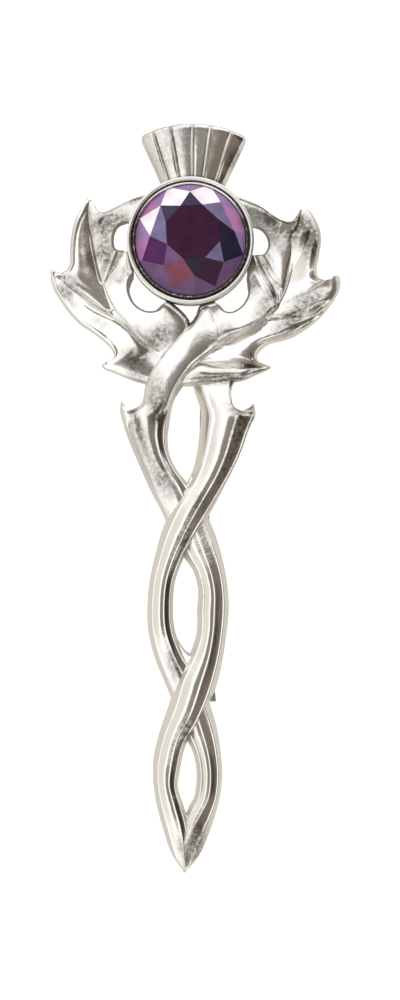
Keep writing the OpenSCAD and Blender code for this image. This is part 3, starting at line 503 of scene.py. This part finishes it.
def crown():
    """Pleated crown: flat flutes round a half cone, with a V groove between each two.

    Between grooves the height runs straight from one to the next over a bowed line that falls to the sides; a
    groove takes away GROOVE_DEEP at its middle and nothing GROOVE_HALF off; the top edge is bevelled."""
    marks = np.radians(FAN_ANGLES)
    share = ease(np.linspace(0, 1, 15)[:-1])
    angle = np.hstack([(marks[:-1, None] + np.diff(marks)[:, None] * share).ravel(), marks[-1:]])
    reach = np.array([FAN_IN, 6.5, 7.5, 8.6, 9.7, 10.8, 11.8, 12.7, 13.3, 13.7, 13.8, 13.88, 13.96, 14.02, FAN_R])
    bow = 1.3 + 2.4 * np.sqrt(1 - 0.9 * np.minimum(1, np.abs(marks) / marks[-1]) ** 2)
    off_groove = np.min(np.abs(angle[:, None] - marks[None, 1:-1]), axis=1)
    in_flute = np.interp(angle, marks, np.arange(len(marks))) % 1
    lift = np.interp(reach, [FAN_IN, 10, FAN_R], [0.74, 0.84, 1])
    z = lift[:, None] * (np.interp(angle, marks, bow) + 0.08 * np.sin(math.pi * in_flute))[None]
    z -= GROOVE_DEEP * np.clip(1 - reach[:, None] * off_groove[None] / GROOVE_HALF, 0, 1)
    z -= BEVEL_DEEP * (np.clip((reach - (FAN_R - BEVEL)) / BEVEL, 0, 1) ** 1.6)[:, None]
    inside = marks[-1] - np.abs(angle)
    z -= FAN_SIDE_DROP * (1 - quarter(np.clip(inside[None] * reach[:, None] / FAN_SIDE, 0, 1)))
    short = 1 - FAN_CORNER / FAN_R * (1 - quarter(np.clip(inside * FAN_R / FAN_CORNER, 0, 1)))
    reach = reach[:, None] * short[None]
    return shell(np.dstack([FAN_X + reach * np.sin(angle), FAN_Y + reach * np.cos(angle)]), BACK + z, BACK)


RIM_AT = 0.68  # where the rim lies in the right half of a strand's section
FLARE_FROM, FLARE_OVER = 350, 60  # where the flare starts, and over how many parts the rim moves out
BAND_FROM, JOINED_FROM, SOFT_OVER = 446, 494, 30  # where the band starts, and where its right side joins the leaf


def ruled(rows, across):
    """Places ruled from the left edge to the right edge of the stem's rows."""
    left, right = (np.array([AXIS_X, TIP_Y]) + rows[:, i: i + 2] * [PART, STEM_PART] for i in (0, 2))
    return left[:, None] + (right - left)[:, None] * across[:, :, None]


def strand(rows, rim_out=0, banded=False):
    """One strand of the stem: a ridged section carried from its left edge to its right edge all along.

    `rim_out` moves the rim out to the right edge in the flare. A banded strand turns into a band above the flare: on
    its left a quarter of an ellipse from half the height up, on its right a curve that falls with the place to the
    power 2.4."""
    rows = curve(rows, steps=7)
    up, ridge, crest = rows[:, 1:2], rows[:, 4:5] * STRAND_H, rows[:, 5:6]
    (first, first_high), (second, second_high) = np.array(LEFT_SECTION).T, np.array(RIGHT_SECTION)[1:].T
    rim = RIM_AT + rim_out * np.clip((up - FLARE_FROM) / FLARE_OVER, 0, 1)
    place = np.where(second < RIM_AT, second * rim / RIM_AT, 1 - (1 - second) * (1 - rim) / (1 - RIM_AT))
    ridged = np.hstack([first_high, second_high])
    soft, joined = (np.clip((up - low) / SOFT_OVER, 0, 1) ** 2 for low in (BAND_FROM, JOINED_FROM))
    left_half = np.repeat([0.5 + 0.5 * quarter(first)], len(rows), 0)
    rounded = np.hstack([left_half, 1 - (0.88 - 0.8 * joined) * second**2.4])
    height = ridged + (rounded - ridged) * soft * banded
    return shell(ruled(rows, np.hstack([crest * first, crest + (1 - crest) * place])), BACK + ridge * height,
                 BACK)


def spur(rows):
    """Hooked point of the flare, rounded from its outer edge over to the strand."""
    rows = curve(rows, steps=8)
    across = np.linspace(0, 1, 13)
    z = BACK + rows[:, 4:5] * STRAND_H * (0.3 + 0.7 * quarter(np.minimum(across * 2, 1)))
    return shell(ruled(rows, across[None]), z, BACK)


WEB_HIGH, WEB_SLOPE, WEB_LEAN = 1.1, 0.2, 0.3


def web(outline):
    """Thin web between two strands where they part. Its top is WEB_HIGH up in the middle, slopes down to the left,
    and lies WEB_LEAN nearer to the point than its foot, so the opening's lower end is a steep wall."""
    points, faces = extruded(at_photo(outline), BACK, BACK + WEB_HIGH, 2)
    top = points[:, 2] > BACK + WEB_HIGH / 2
    points[top, 2] += WEB_SLOPE * (points[top, 0] - points[:, 0].mean())
    points[top, 1] -= WEB_LEAN
    return points, faces


def make_casting():
    sides = ((-1, LEFT_PANELS), (1, RIGHT_PANELS))
    first, *panels = [leaf_panel(side, rows) for side, table in sides for rows in table.values()]
    piece = add("casting_metal", mesh_of("casting_metal", *first))
    combine(piece, panels + [vein(*v) for v in VEINS], "UNION")
    combine(piece, map(gap_tool, GAPS), "DIFFERENCE")
    combine(piece, [collar(), crown(), strand(LEFT_STRAND, banded=True), strand(RIGHT_STRAND, rim_out=0.27),
                    *map(spur, SPURS), *map(web, WEBS)], "UNION")
    smooth(piece.data, 32)
    mark_skin_shade_and_satin(piece.data)
    return piece


def mark_skin_shade_and_satin(mesh):
    """Writes how dark each point of the casting is made: the sum of the patches of uneven skin and painted shade,
    each falling off as exp(-1.2 r^3) with r the distance in parts of its size, plus painted shade in the crease round
    the collar. Marks the collar's top as satin and gives the steep walls of the gaps beside the collar the second
    material, which paints shade on them."""
    p = points_of(mesh)
    skin_and_shade_sum = np.zeros(len(p))
    # each patch darkens the metal's colour: partly uneven cast skin, partly painted shade
    for x, y, half_length, half_width, turn, amount in UNEVEN_SKIN_AND_SHADE:
        off = (p[:, :2] - at_photo([(x, y)])[0]) / PART
        c, s = math.cos(math.radians(turn)), math.sin(math.radians(turn))
        along, across = (off[:, 0] * c + off[:, 1] * s) / half_length, (off[:, 1] * c - off[:, 0] * s) / half_width
        skin_and_shade_sum += amount * np.exp(-1.2 * (along**2 + across**2) ** 1.5)
    away, below = past_collar(p), RIM - p[:, 2]
    # painted shade: a thin dark ring in the crease at the foot of the collar's wall
    painted_shade_ring = (np.abs(away) < 0.06) & (below > 0.45)
    mark(mesh, "unbuffed_skin_and_painted_shade", skin_and_shade_sum * (away > 0.03) + 0.9 * painted_shade_ring)
    mark(mesh, "satin", SATIN * ((away < 0.05) & (away > -0.6) & (below < 0.6)))
    middle = face_middles(mesh)
    away = past_collar(middle)
    # painted shade: the gaps' steep walls beside the collar take the darker second material
    steep = np.abs([f.normal.z for f in mesh.polygons]) < 0.45
    second_material(mesh, steep & (away > 0.05) & (away < 2.8) & (middle[:, 1] < STONE_Y + 2.7))


# ---- materials
def colour(hex_code):
    """Linear RGBA of an sRGB hex colour."""
    channels = [int(hex_code[i: i + 2], 16) / 255 for i in (1, 3, 5)]
    return [c / 12.92 if c <= 0.04045 else ((c + 0.055) / 1.055) ** 2.4 for c in channels] + [1]


def node(tree, kind, settings=None, **sockets):
    """Adds a shader node and sets its properties and sockets. A keyword names a socket, with underscores for spaces;
    a value that is another node's socket is linked."""
    made = tree.nodes.new("ShaderNode" + kind)
    by_name = {key.replace("_", " "): value for key, value in sockets.items()}
    for key, value in {**(settings or {}), **by_name}.items():
        if not isinstance(key, int) and key not in made.inputs.keys():
            setattr(made, key, value)
        elif isinstance(value, bpy.types.NodeSocket):
            tree.links.new(value, made.inputs[key])
        else:
            made.inputs[key].default_value = value
    return made


def maths(tree, operation, *values, clamped=False):
    """Result of a sum with two or three values."""
    return node(tree, "Math", {"operation": operation, "use_clamp": clamped, **dict(enumerate(values))}).outputs[0]


def coordinates(tree, kind):
    return node(tree, "TexCoord").outputs[kind]


def noise(tree, scale, detail, roughness=0.5):
    """Soft noise over the piece, `scale` waves to the metre."""
    return node(tree, "TexNoise", {"Scale": scale, "Detail": detail, "Roughness": roughness},
                Vector=coordinates(tree, "Object")).outputs["Fac"]


def ranged(tree, value, low, high, to_low, to_high):
    """A value carried from one range over to another, and held at its ends."""
    return node(tree, "MapRange", {"From Min": low, "From Max": high, "To Min": to_low, "To Max": to_high},
                Value=value).outputs[0]


def written(tree, name, output="Fac"):
    """What the mesh has written on its points or faces under that name."""
    return node(tree, "Attribute", {"attribute_name": name}).outputs[output]


def material(name):
    made = bpy.data.materials.new(name)
    made.use_nodes = True
    made.node_tree.nodes.clear()
    return made, made.node_tree


def show(tree, shader):
    node(tree, "OutputMaterial", Surface=shader.outputs[0])


def polished_pewter(name, skin_and_shade_tone):
    """Bright cast metal, buffed by hand: sharp reflections that waver where the casting's skin was uneven."""
    made, tree = material(name)
    # slow waves about 2.5 mm long left by the buffing wheel
    wavy = node(tree, "Bump", {"Strength": 0.6, "Distance": 0.00008}, Height=noise(tree, 420, 1))
    # uneven skin about 0.7 mm across, and finer pits about 0.25 mm across
    skin = maths(tree, "MULTIPLY_ADD", noise(tree, 4200, 2, 0.6), 0.35, noise(tree, 1400, 2))
    bump = node(tree, "Bump", {"Strength": 0.6, "Distance": 0.00003}, Height=skin, Normal=wavy.outputs[0])
    # gloss that comes and goes over about 3 mm
    rough = ranged(tree, noise(tree, 300, 2), 0.3, 0.7, 0.07, 0.18)
    # patches of uneven skin and painted shade, broken up into specks about 0.5 mm across where the buffing wheel
    # caught the high spots
    broken = ranged(tree, noise(tree, 2200, 3, 0.65), 0.35, 0.65, 0.45, 1.3)
    amount = maths(tree, "MULTIPLY", written(tree, "unbuffed_skin_and_painted_shade"), broken, clamped=True)
    tone = node(tree, "Mix", {"data_type": "RGBA", 6: colour("#F3F1ED"), 7: colour(skin_and_shade_tone)}, Factor=amount)
    # the upright sides keep a satin skin, since the wheel only runs over the front
    facing = node(tree, "SeparateXYZ", Vector=coordinates(tree, "Normal"))
    rough = maths(tree, "ADD", rough, ranged(tree, facing.outputs["Z"], 0.35, 0.75, 0.3, 0.0))
    # the collar's top and the lip were left satin, which spreads the light they throw back
    rough = maths(tree, "MULTIPLY_ADD", written(tree, "satin"), 0.35, rough)
    show(tree, node(tree, "BsdfPrincipled", {"Metallic": 1}, Base_Color=tone.outputs[2], Roughness=rough,
                    Normal=bump.outputs[0]))
    return made


def cut_glass():
    """Foil-backed cut glass: deep purple with a hard clear gloss."""
    made, tree = material("foiled cut glass")
    # painted light: the back's facets show through as broken lighter and darker patches about 1.5 mm across
    back_facet_painted_light = node(tree, "TexVoronoi", {"Scale": 700}, Vector=coordinates(tree, "Object"))
    tone = node(tree, "VectorMath", {
        "operation": "SCALE", 0: written(tree, "facet_glass_and_painted_light", "Color"),
        "Scale": ranged(tree, back_facet_painted_light.outputs["Distance"], 0, 1, 0.95, 1.35)})
    show(tree, node(tree, "BsdfPrincipled", {"Roughness": 0.03, "IOR": 1.6, "Specular IOR Level": 0.1},
                    Base_Color=tone.outputs[0]))
    return made


def plain_metal(name, tone, roughness):
    """Satin metal of one tone with a slightly uneven gloss: it shows soft light and no sharp picture."""
    made, tree = material(name)
    rough = ranged(tree, noise(tree, 2500, 2), 0, 1, roughness - 0.06, roughness + 0.08)
    show(tree, node(tree, "BsdfPrincipled", {"Base Color": colour(tone), "Metallic": 1}, Roughness=rough))
    return made


# ---- stone
# What a facet of foiled purple glass shows, painted into its colour: a painted glint of the light itself, or more and
# more of the glass in front of the foil, with painted shade on the facets turned from the light
GLASS = {
    "flash": "#FCF0F8", "rose": "#B078A8", "lilac": "#967AA8", "lavender": "#786E94", "mauve": "#70547A",
    "garnet": "#82485A", "violet": "#50265A", "slate": "#3E3850", "plum": "#3E2038", "night": "#28243A"}
# Facets in steps of 45 degrees from the right. The kites have one tone beside the table and one beside the girdle;
# the girdle's facets go in steps of 22.5 degrees.
KITE_INNER = "lavender flash flash lavender violet garnet plum night".split()
KITE_OUTER = "rose flash flash flash violet garnet plum night".split()
STARS = "night lavender slate slate lavender mauve night lavender".split()
GIRDLE = ["rose", *["lilac"] * 5, "rose", "lilac", "rose", *["mauve"] * 6, "lilac"]
CUT_HIGH = 1.5  # from the girdle up to the table
GIRDLE_Z = STONE_HIGH[2] - CUT_HIGH
TABLE_R, STAR_R = 0.52 * STONE_R, 0.77 * STONE_R
CUT_TURN = math.radians(3.7)  # how far the cut is turned from the right


def stone_crown():
    """Top of a round stone: a table of eight corners at 0.52 of the radius, eight stars, eight kites in two halves
    each, sixteen facets down to the girdle and a skirt past it. The stone lies a little tipped in its cup, so each
    ring is moved by (0.13, 0.37) mm at the girdle and by (0.26, 0.80) mm at the table, and in between by its height.
    Returns its points, faces and the tone of each face."""
    ring, fine = np.arange(8) * math.pi / 4 + CUT_TURN, np.arange(16) * math.pi / 8 + CUT_TURN
    star_z = GIRDLE_Z + CUT_HIGH * (STONE_R - STAR_R * math.cos(math.pi / 8)) / (STONE_R - TABLE_R)

    def circle(angle, radius, z):
        up = max(0, (z - GIRDLE_Z) / CUT_HIGH)
        return np.stack([AXIS_X + 0.13 + 0.13 * up + radius * np.cos(angle),
                         STONE_Y + 0.37 + 0.43 * up + radius * np.sin(angle), angle * 0 + z], -1)

    points = np.vstack([
        circle(ring + math.pi / 8, TABLE_R, STONE_HIGH[2]), circle(ring, STAR_R, star_z),
        circle(fine, STONE_R, GIRDLE_Z), circle(fine, STONE_R + 0.5, GIRDLE_Z - 0.12),
        circle(fine, STONE_R + 0.5, STONE_LOW[2] - 1)])
    faces, tones = [list(range(8)), list(range(63, 47, -1))], ["plum"] * 2
    for k in range(8):
        before, after = (k + 7) % 8, (k + 1) % 8
        faces += [[k, before, 8 + k], [k, 8 + k, 8 + after], [8 + k, 17 + 2 * k, 8 + after],
                  [8 + k, 16 + 2 * k, 17 + 2 * k], [8 + k, 16 + (2 * k + 15) % 16, 16 + 2 * k]]
        tones += [STARS[k], KITE_INNER[k], KITE_OUTER[k], GIRDLE[2 * k], GIRDLE[2 * k - 1]]
        for i in (2 * k, 2 * k + 1):
            j = (i + 1) % 16
            faces += [[16 + i, 32 + i, 32 + j, 16 + j], [32 + i, 48 + i, 48 + j, 32 + j]]
            tones += [GIRDLE[i], "plum"]
    return points, faces, tones


def make_stone():
    """The crown cut to a round girdle, with a back that comes to a point. Faces of the cut take the table's tone."""
    points, faces, tones = stone_crown()
    mesh = mesh_of("cut_stone", points, faces)
    # each facet's colour is the glass's purple with painted glints and painted shade, as the light falls on it
    tint = mesh.attributes.new("facet_glass_and_painted_light", "FLOAT_COLOR", "FACE")
    tint.data.foreach_set("color", np.array([colour(GLASS[t]) for t in tones]).ravel())
    past = STONE_HIGH[2] + 1
    back = spun([[0, STONE_LOW[2]], [0.28 * STONE_R, GIRDLE_Z - 1.508], [STONE_R, GIRDLE_Z - 0.25], [STONE_R, past],
                 [0, past]], 64)
    piece = add("cut_stone", mesh)
    combine(piece, [back], "INTERSECT")
    tint = piece.data.attributes["facet_glass_and_painted_light"].data
    tones = np.empty(len(tint) * 4, np.float32)
    tint.foreach_get("color", tones)
    tones = tones.reshape(-1, 4)
    tones[tones[:, 3] < 0.5] = colour(GLASS["plum"])
    tint.foreach_set("color", tones.ravel())
    return piece


# ---- setting
LIP_R, LIP_HALF, LIP_RISE = 6.2, 0.14, 0.2  # middle of the lip, half its width and how far it is rounded up
SEAT_R, FLOOR_THICK = 5.16, 0.4  # inside of the cup
GROOVE_R = 6.0  # the groove between lip and collar, darkened with painted shade, lies outside this


def make_setting():
    """Thin cup: its lip, 0.3 mm wide, is turned over the stone's edge, and a groove with painted shade parts it from
    the collar.
    The lip keeps the bright metal on its upper side; painted shade darkens the rest."""
    foot, seat = SETTING_LOW[2], SETTING_LOW[2] + FLOOR_THICK
    bend = np.radians(np.linspace(0, 180, 11))
    lip = np.stack([LIP_R + LIP_HALF * np.cos(bend), GIRDLE_Z + 0.12 + LIP_RISE * np.sin(bend)], -1)
    profile = np.vstack([
        [[0, foot], [SETTING_R - 0.1, foot], [SETTING_R, foot + 0.1], [SETTING_R, GIRDLE_Z - 0.06],
         [SETTING_R - 0.05, GIRDLE_Z], [LIP_R + 0.17, GIRDLE_Z - 0.12]], lip,
        [[LIP_R - LIP_HALF, GIRDLE_Z - 0.31], [SEAT_R, GIRDLE_Z - 0.55], [SEAT_R, seat], [0, seat]]])
    mesh = mesh_of("setting_cup", *spun(profile, ROUND))
    smooth(mesh, 35)
    off = points_of(mesh)[:, :2] - MIDDLE
    # painted shade: the cup darkens away from its top side, so only the lip's upper side stays bright
    upper = np.clip((off[:, 1] / np.maximum(np.linalg.norm(off, axis=1), 1) - 0.3) / 0.45, 0, 1)
    mark(mesh, "unbuffed_skin_and_painted_shade", 1.2 - 1.2 * upper)
    mark(mesh, "satin", np.full(len(upper), SATIN))
    middle = face_middles(mesh)
    # painted shade: faces in the groove between lip and collar take the darker second material
    up, away = middle[:, 2] - GIRDLE_Z, np.linalg.norm(middle[:, :2] - MIDDLE, axis=1)
    second_material(mesh, (up > -0.35) & (up < 0.1) & (away > GROOVE_R))
    return add("setting_cup", mesh)


# ---- pin, hinge block and catch
PIN_X, PIN_Z, PIN_R = AXIS_X + 1.8, 1.05, 0.6
HINGE_Y, POINT_Y, CATCH_Y = STONE_Y + 4.6, TIP_Y + 16.7, TIP_Y + 18.9
BLOCK_HALF, BLOCK_LONG, FILLET = 3.2, 2, 0.9  # half of the hinge block's width and length, and its lower rounding
SLOT_HALF = 0.85
STRIP, CATCH_LONG = 0.45, 3.5  # thickness and length of the catch's strip
CATCH_TAPER = 0.5  # how far its outer side has drawn in by its upper end
PIN_SIDES = 32


def box(y, z, start, end):
    """A block between two places each along y and z, from start to end across."""
    return extruded([[y[0], z[0]], [y[1], z[0]], [y[1], z[1]], [y[0], z[1]]], start, end, 0)


def make_fitting():
    """Hinge block with a slot, straight round pin with a ground point, and a catch of bent strip, all one piece."""
    top, x = FITTING_TOP, PIN_X
    foot = [[HINGE_Y + BLOCK_LONG - FILLET + FILLET * math.sin(a), FILLET - FILLET * math.cos(a)]
            for a in np.radians(np.linspace(0, 90, 7))]
    ends = [[HINGE_Y + BLOCK_LONG, top], [HINGE_Y - BLOCK_LONG, top]]
    block = extruded(foot + ends + [[2 * HINGE_Y - y, z] for y, z in foot[::-1]], AXIS_X - BLOCK_HALF,
                     AXIS_X + BLOCK_HALF, 0)
    slot = box((HINGE_Y - 3, HINGE_Y + 0.9), (-1, 2.4), x - SLOT_HALF, x + SLOT_HALF)
    reach = np.array([0, 0.02, 0.5, 1.2, 2.0, 2.7, 3.2, 5, HINGE_Y + 0.95 - POINT_Y])
    radius = np.array([0.0, 0.09, 0.24, 0.40, 0.52, 0.585, PIN_R, PIN_R, PIN_R])
    turn = np.arange(PIN_SIDES) * 2 * math.pi / PIN_SIDES
    ring = np.stack([x + np.outer(radius, np.cos(turn)), (POINT_Y + reach)[:, None] + turn * 0,
                     PIN_Z + np.outer(radius, np.sin(turn))], -1)
    k = np.arange(len(reach) * PIN_SIDES).reshape(-1, PIN_SIDES)
    point = [[0, b, c] for _, b, c, _ in walls(k[:1], k[1:2])[:, OTHER_WAY].tolist()]
    rest = walls(k[1:-1], k[2:])[:, OTHER_WAY].tolist()
    wire = (ring.reshape(-1, 3), rest + point + [k[-1, ::-1].tolist()])
    inner, outer = PIN_R + 0.5, PIN_R + 0.9
    bent = [[x + a, z] for a, z in (
        (-inner, 0), (outer, 0), (outer, top), (-outer, top), (-outer, top - STRIP), (outer - STRIP, top - STRIP),
        (outer - STRIP, STRIP + 0.05), (STRIP - inner, STRIP + 0.05), (STRIP - inner, PIN_Z + 0.72),
        (-inner, PIN_Z + 0.72))]
    catch, faces = extruded(bent, CATCH_Y, CATCH_Y + CATCH_LONG, 1)
    catch[:, 0] -= CATCH_TAPER * (catch[:, 1] > CATCH_Y) * (catch[:, 0] > x + PIN_R)
    ribs = [box((CATCH_Y + a, CATCH_Y + a + 0.22), (top - 0.6, top + 1), x + outer - 0.55, x + outer + 1)
            for a in (0.5, 1.1, 1.7)]
    piece = add("pin_and_catch", mesh_of("pin_and_catch", *block))
    combine(piece, [slot], "DIFFERENCE")
    combine(piece, [wire, (catch, faces)], "UNION")
    combine(piece, ribs, "DIFFERENCE")
    rounded = piece.modifiers.new("rounded", "BEVEL")
    rounded.width, rounded.segments, rounded.limit_method = 0.08 * MM, 2, "ANGLE"
    rounded.angle_limit = math.radians(40)
    smooth(piece.data, 35)
    return piece


# ---- the four pieces
def dress(piece, *materials):
    """Gives a piece its materials and keeps what its faces say about which of them each face takes."""
    slots = np.zeros(len(piece.data.polygons), np.int32)
    piece.data.polygons.foreach_get("material_index", slots)
    piece.data.materials.clear()
    for one in materials:
        piece.data.materials.append(one)
    piece.data.polygons.foreach_set("material_index", slots)


pewter = polished_pewter("polished cast pewter", "#7A746C")
cup_metal = polished_pewter("thin cup metal with painted shade off the lip's top", "#605B54")
# painted shade for the groove round the lip and the gaps' steep walls beside the collar
painted_shade_metal = plain_metal("painted shade for the groove and the gaps' walls", "#8A8172", 0.4)
pieces = [
    (make_casting(), (pewter, painted_shade_metal), "casting", "polished_metal"),
    (make_setting(), (cup_metal, painted_shade_metal), "setting", "setting_metal"),
    (make_stone(), (cut_glass(),), "stone", "stone"),
    (make_fitting(), (plain_metal("steel wire and strip", "#B9B8B4", 0.25),), "pin_fitting", "fitting_metal"),
]
for piece, materials, cad_node, slot in pieces:
    dress(piece, *materials)
    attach(piece, "root")
    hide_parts(cad_node)


# ---- floor, light and camera
FLOOR_HALF = 1500
LENS, SENSOR = 100, 36
VIEW_HIGH = 110  # height in view at the level of EYE_OVER
EYE_OVER = 7.5
# Dark cards round the object: the way each lies, the angles where it is full and where it has faded out, its colour
CARDS = [
    ((-1.0, 0.0, 0.3), 15, 38, "#DAD6CF"), ((0.15, -1.0, 0.42), 18, 36, "#B5ABA2"),
    ((0.07, 0.0, 1.0), 8, 23, "#827E78"), ((0.75, -0.1, 0.65), 28, 42, "#756B61"),
    ((1.0, -0.05, 0.3), 9, 26, "#3A3530")]


def ground():
    """White paper under the object."""
    corner = [(-1, -1), (1, -1), (1, 1), (-1, 1)]
    floor = add("floor", mesh_of("floor", [[FLOOR_HALF * x, FLOOR_HALF * y, 0] for x, y in corner], [[0, 1, 2, 3]]))
    made, tree = material("pale paper")
    paper = node(tree, "BsdfPrincipled", {
        "Base Color": colour("#F2F2F0"), "Roughness": 0.9, "Emission Color": colour("#FFFFFF"),
        "Emission Strength": 0.7})
    # reflections meet the dim room behind the paper, which gives the metal's steep sides their grey
    dim = node(tree, "Emission", {"Color": colour("#DAD6CB")})
    reflected = node(tree, "LightPath").outputs["Is Glossy Ray"]
    show(tree, node(tree, "MixShader", {0: reflected, 1: paper.outputs[0], 2: dim.outputs[0]}))
    dress(floor, made)


def studio():
    """White light from all round with the dark cards in it; the camera sees plain white behind the paper."""
    world = bpy.data.worlds.new("studio")
    world.use_nodes = True
    bpy.context.scene.world = world
    tree = world.node_tree
    tree.nodes.clear()
    direction = coordinates(tree, "Generated")
    tone = colour("#FFFFFF")
    for way, full, gone, hex_code in CARDS:
        length = math.sqrt(sum(w * w for w in way))
        toward = node(tree, "VectorMath", {
            "operation": "DOT_PRODUCT", 0: direction, 1: [w / length for w in way]}).outputs["Value"]
        fade = node(tree, "MapRange", {
            "interpolation_type": "SMOOTHSTEP", "From Min": math.cos(math.radians(gone)),
            "From Max": math.cos(math.radians(full))}, Value=toward)
        tone = node(tree, "Mix", {"data_type": "RGBA", 6: tone, 7: colour(hex_code)},
                    Factor=fade.outputs[0]).outputs[2]
    sky = node(tree, "Background", {"Strength": 1.2}, Color=tone)
    plain = node(tree, "Background", {"Color": colour("#FFFFFF")})
    seen = node(tree, "LightPath").outputs["Is Camera Ray"]
    either = node(tree, "MixShader", {0: seen, 1: sky.outputs[0], 2: plain.outputs[0]})
    node(tree, "OutputWorld", Surface=either.outputs[0])


def camera():
    """Straight above, turned so that the long axis leans as in the photograph, with VIEW_HIGH in view."""
    lens = bpy.data.cameras.new("camera")
    lens.lens, lens.sensor_width = LENS, SENSOR
    eye = bpy.data.objects.new("camera", lens)
    bpy.context.scene.collection.objects.link(eye)
    x, y = at_photo([PHOTO_MIDDLE])[0]
    place = Vector((x, y, EYE_OVER + LENS / SENSOR * VIEW_HIGH)) * MM
    eye.matrix_world = Matrix.Translation(place) @ Matrix.Rotation(math.atan(LEAN / LEAN_OVER), 4, "Z")
    lens.clip_start, lens.clip_end = 0.01, 10
    bpy.context.scene.camera = eye


ground()
studio()
camera()
bpy.context.scene.view_settings.view_transform = "Standard"
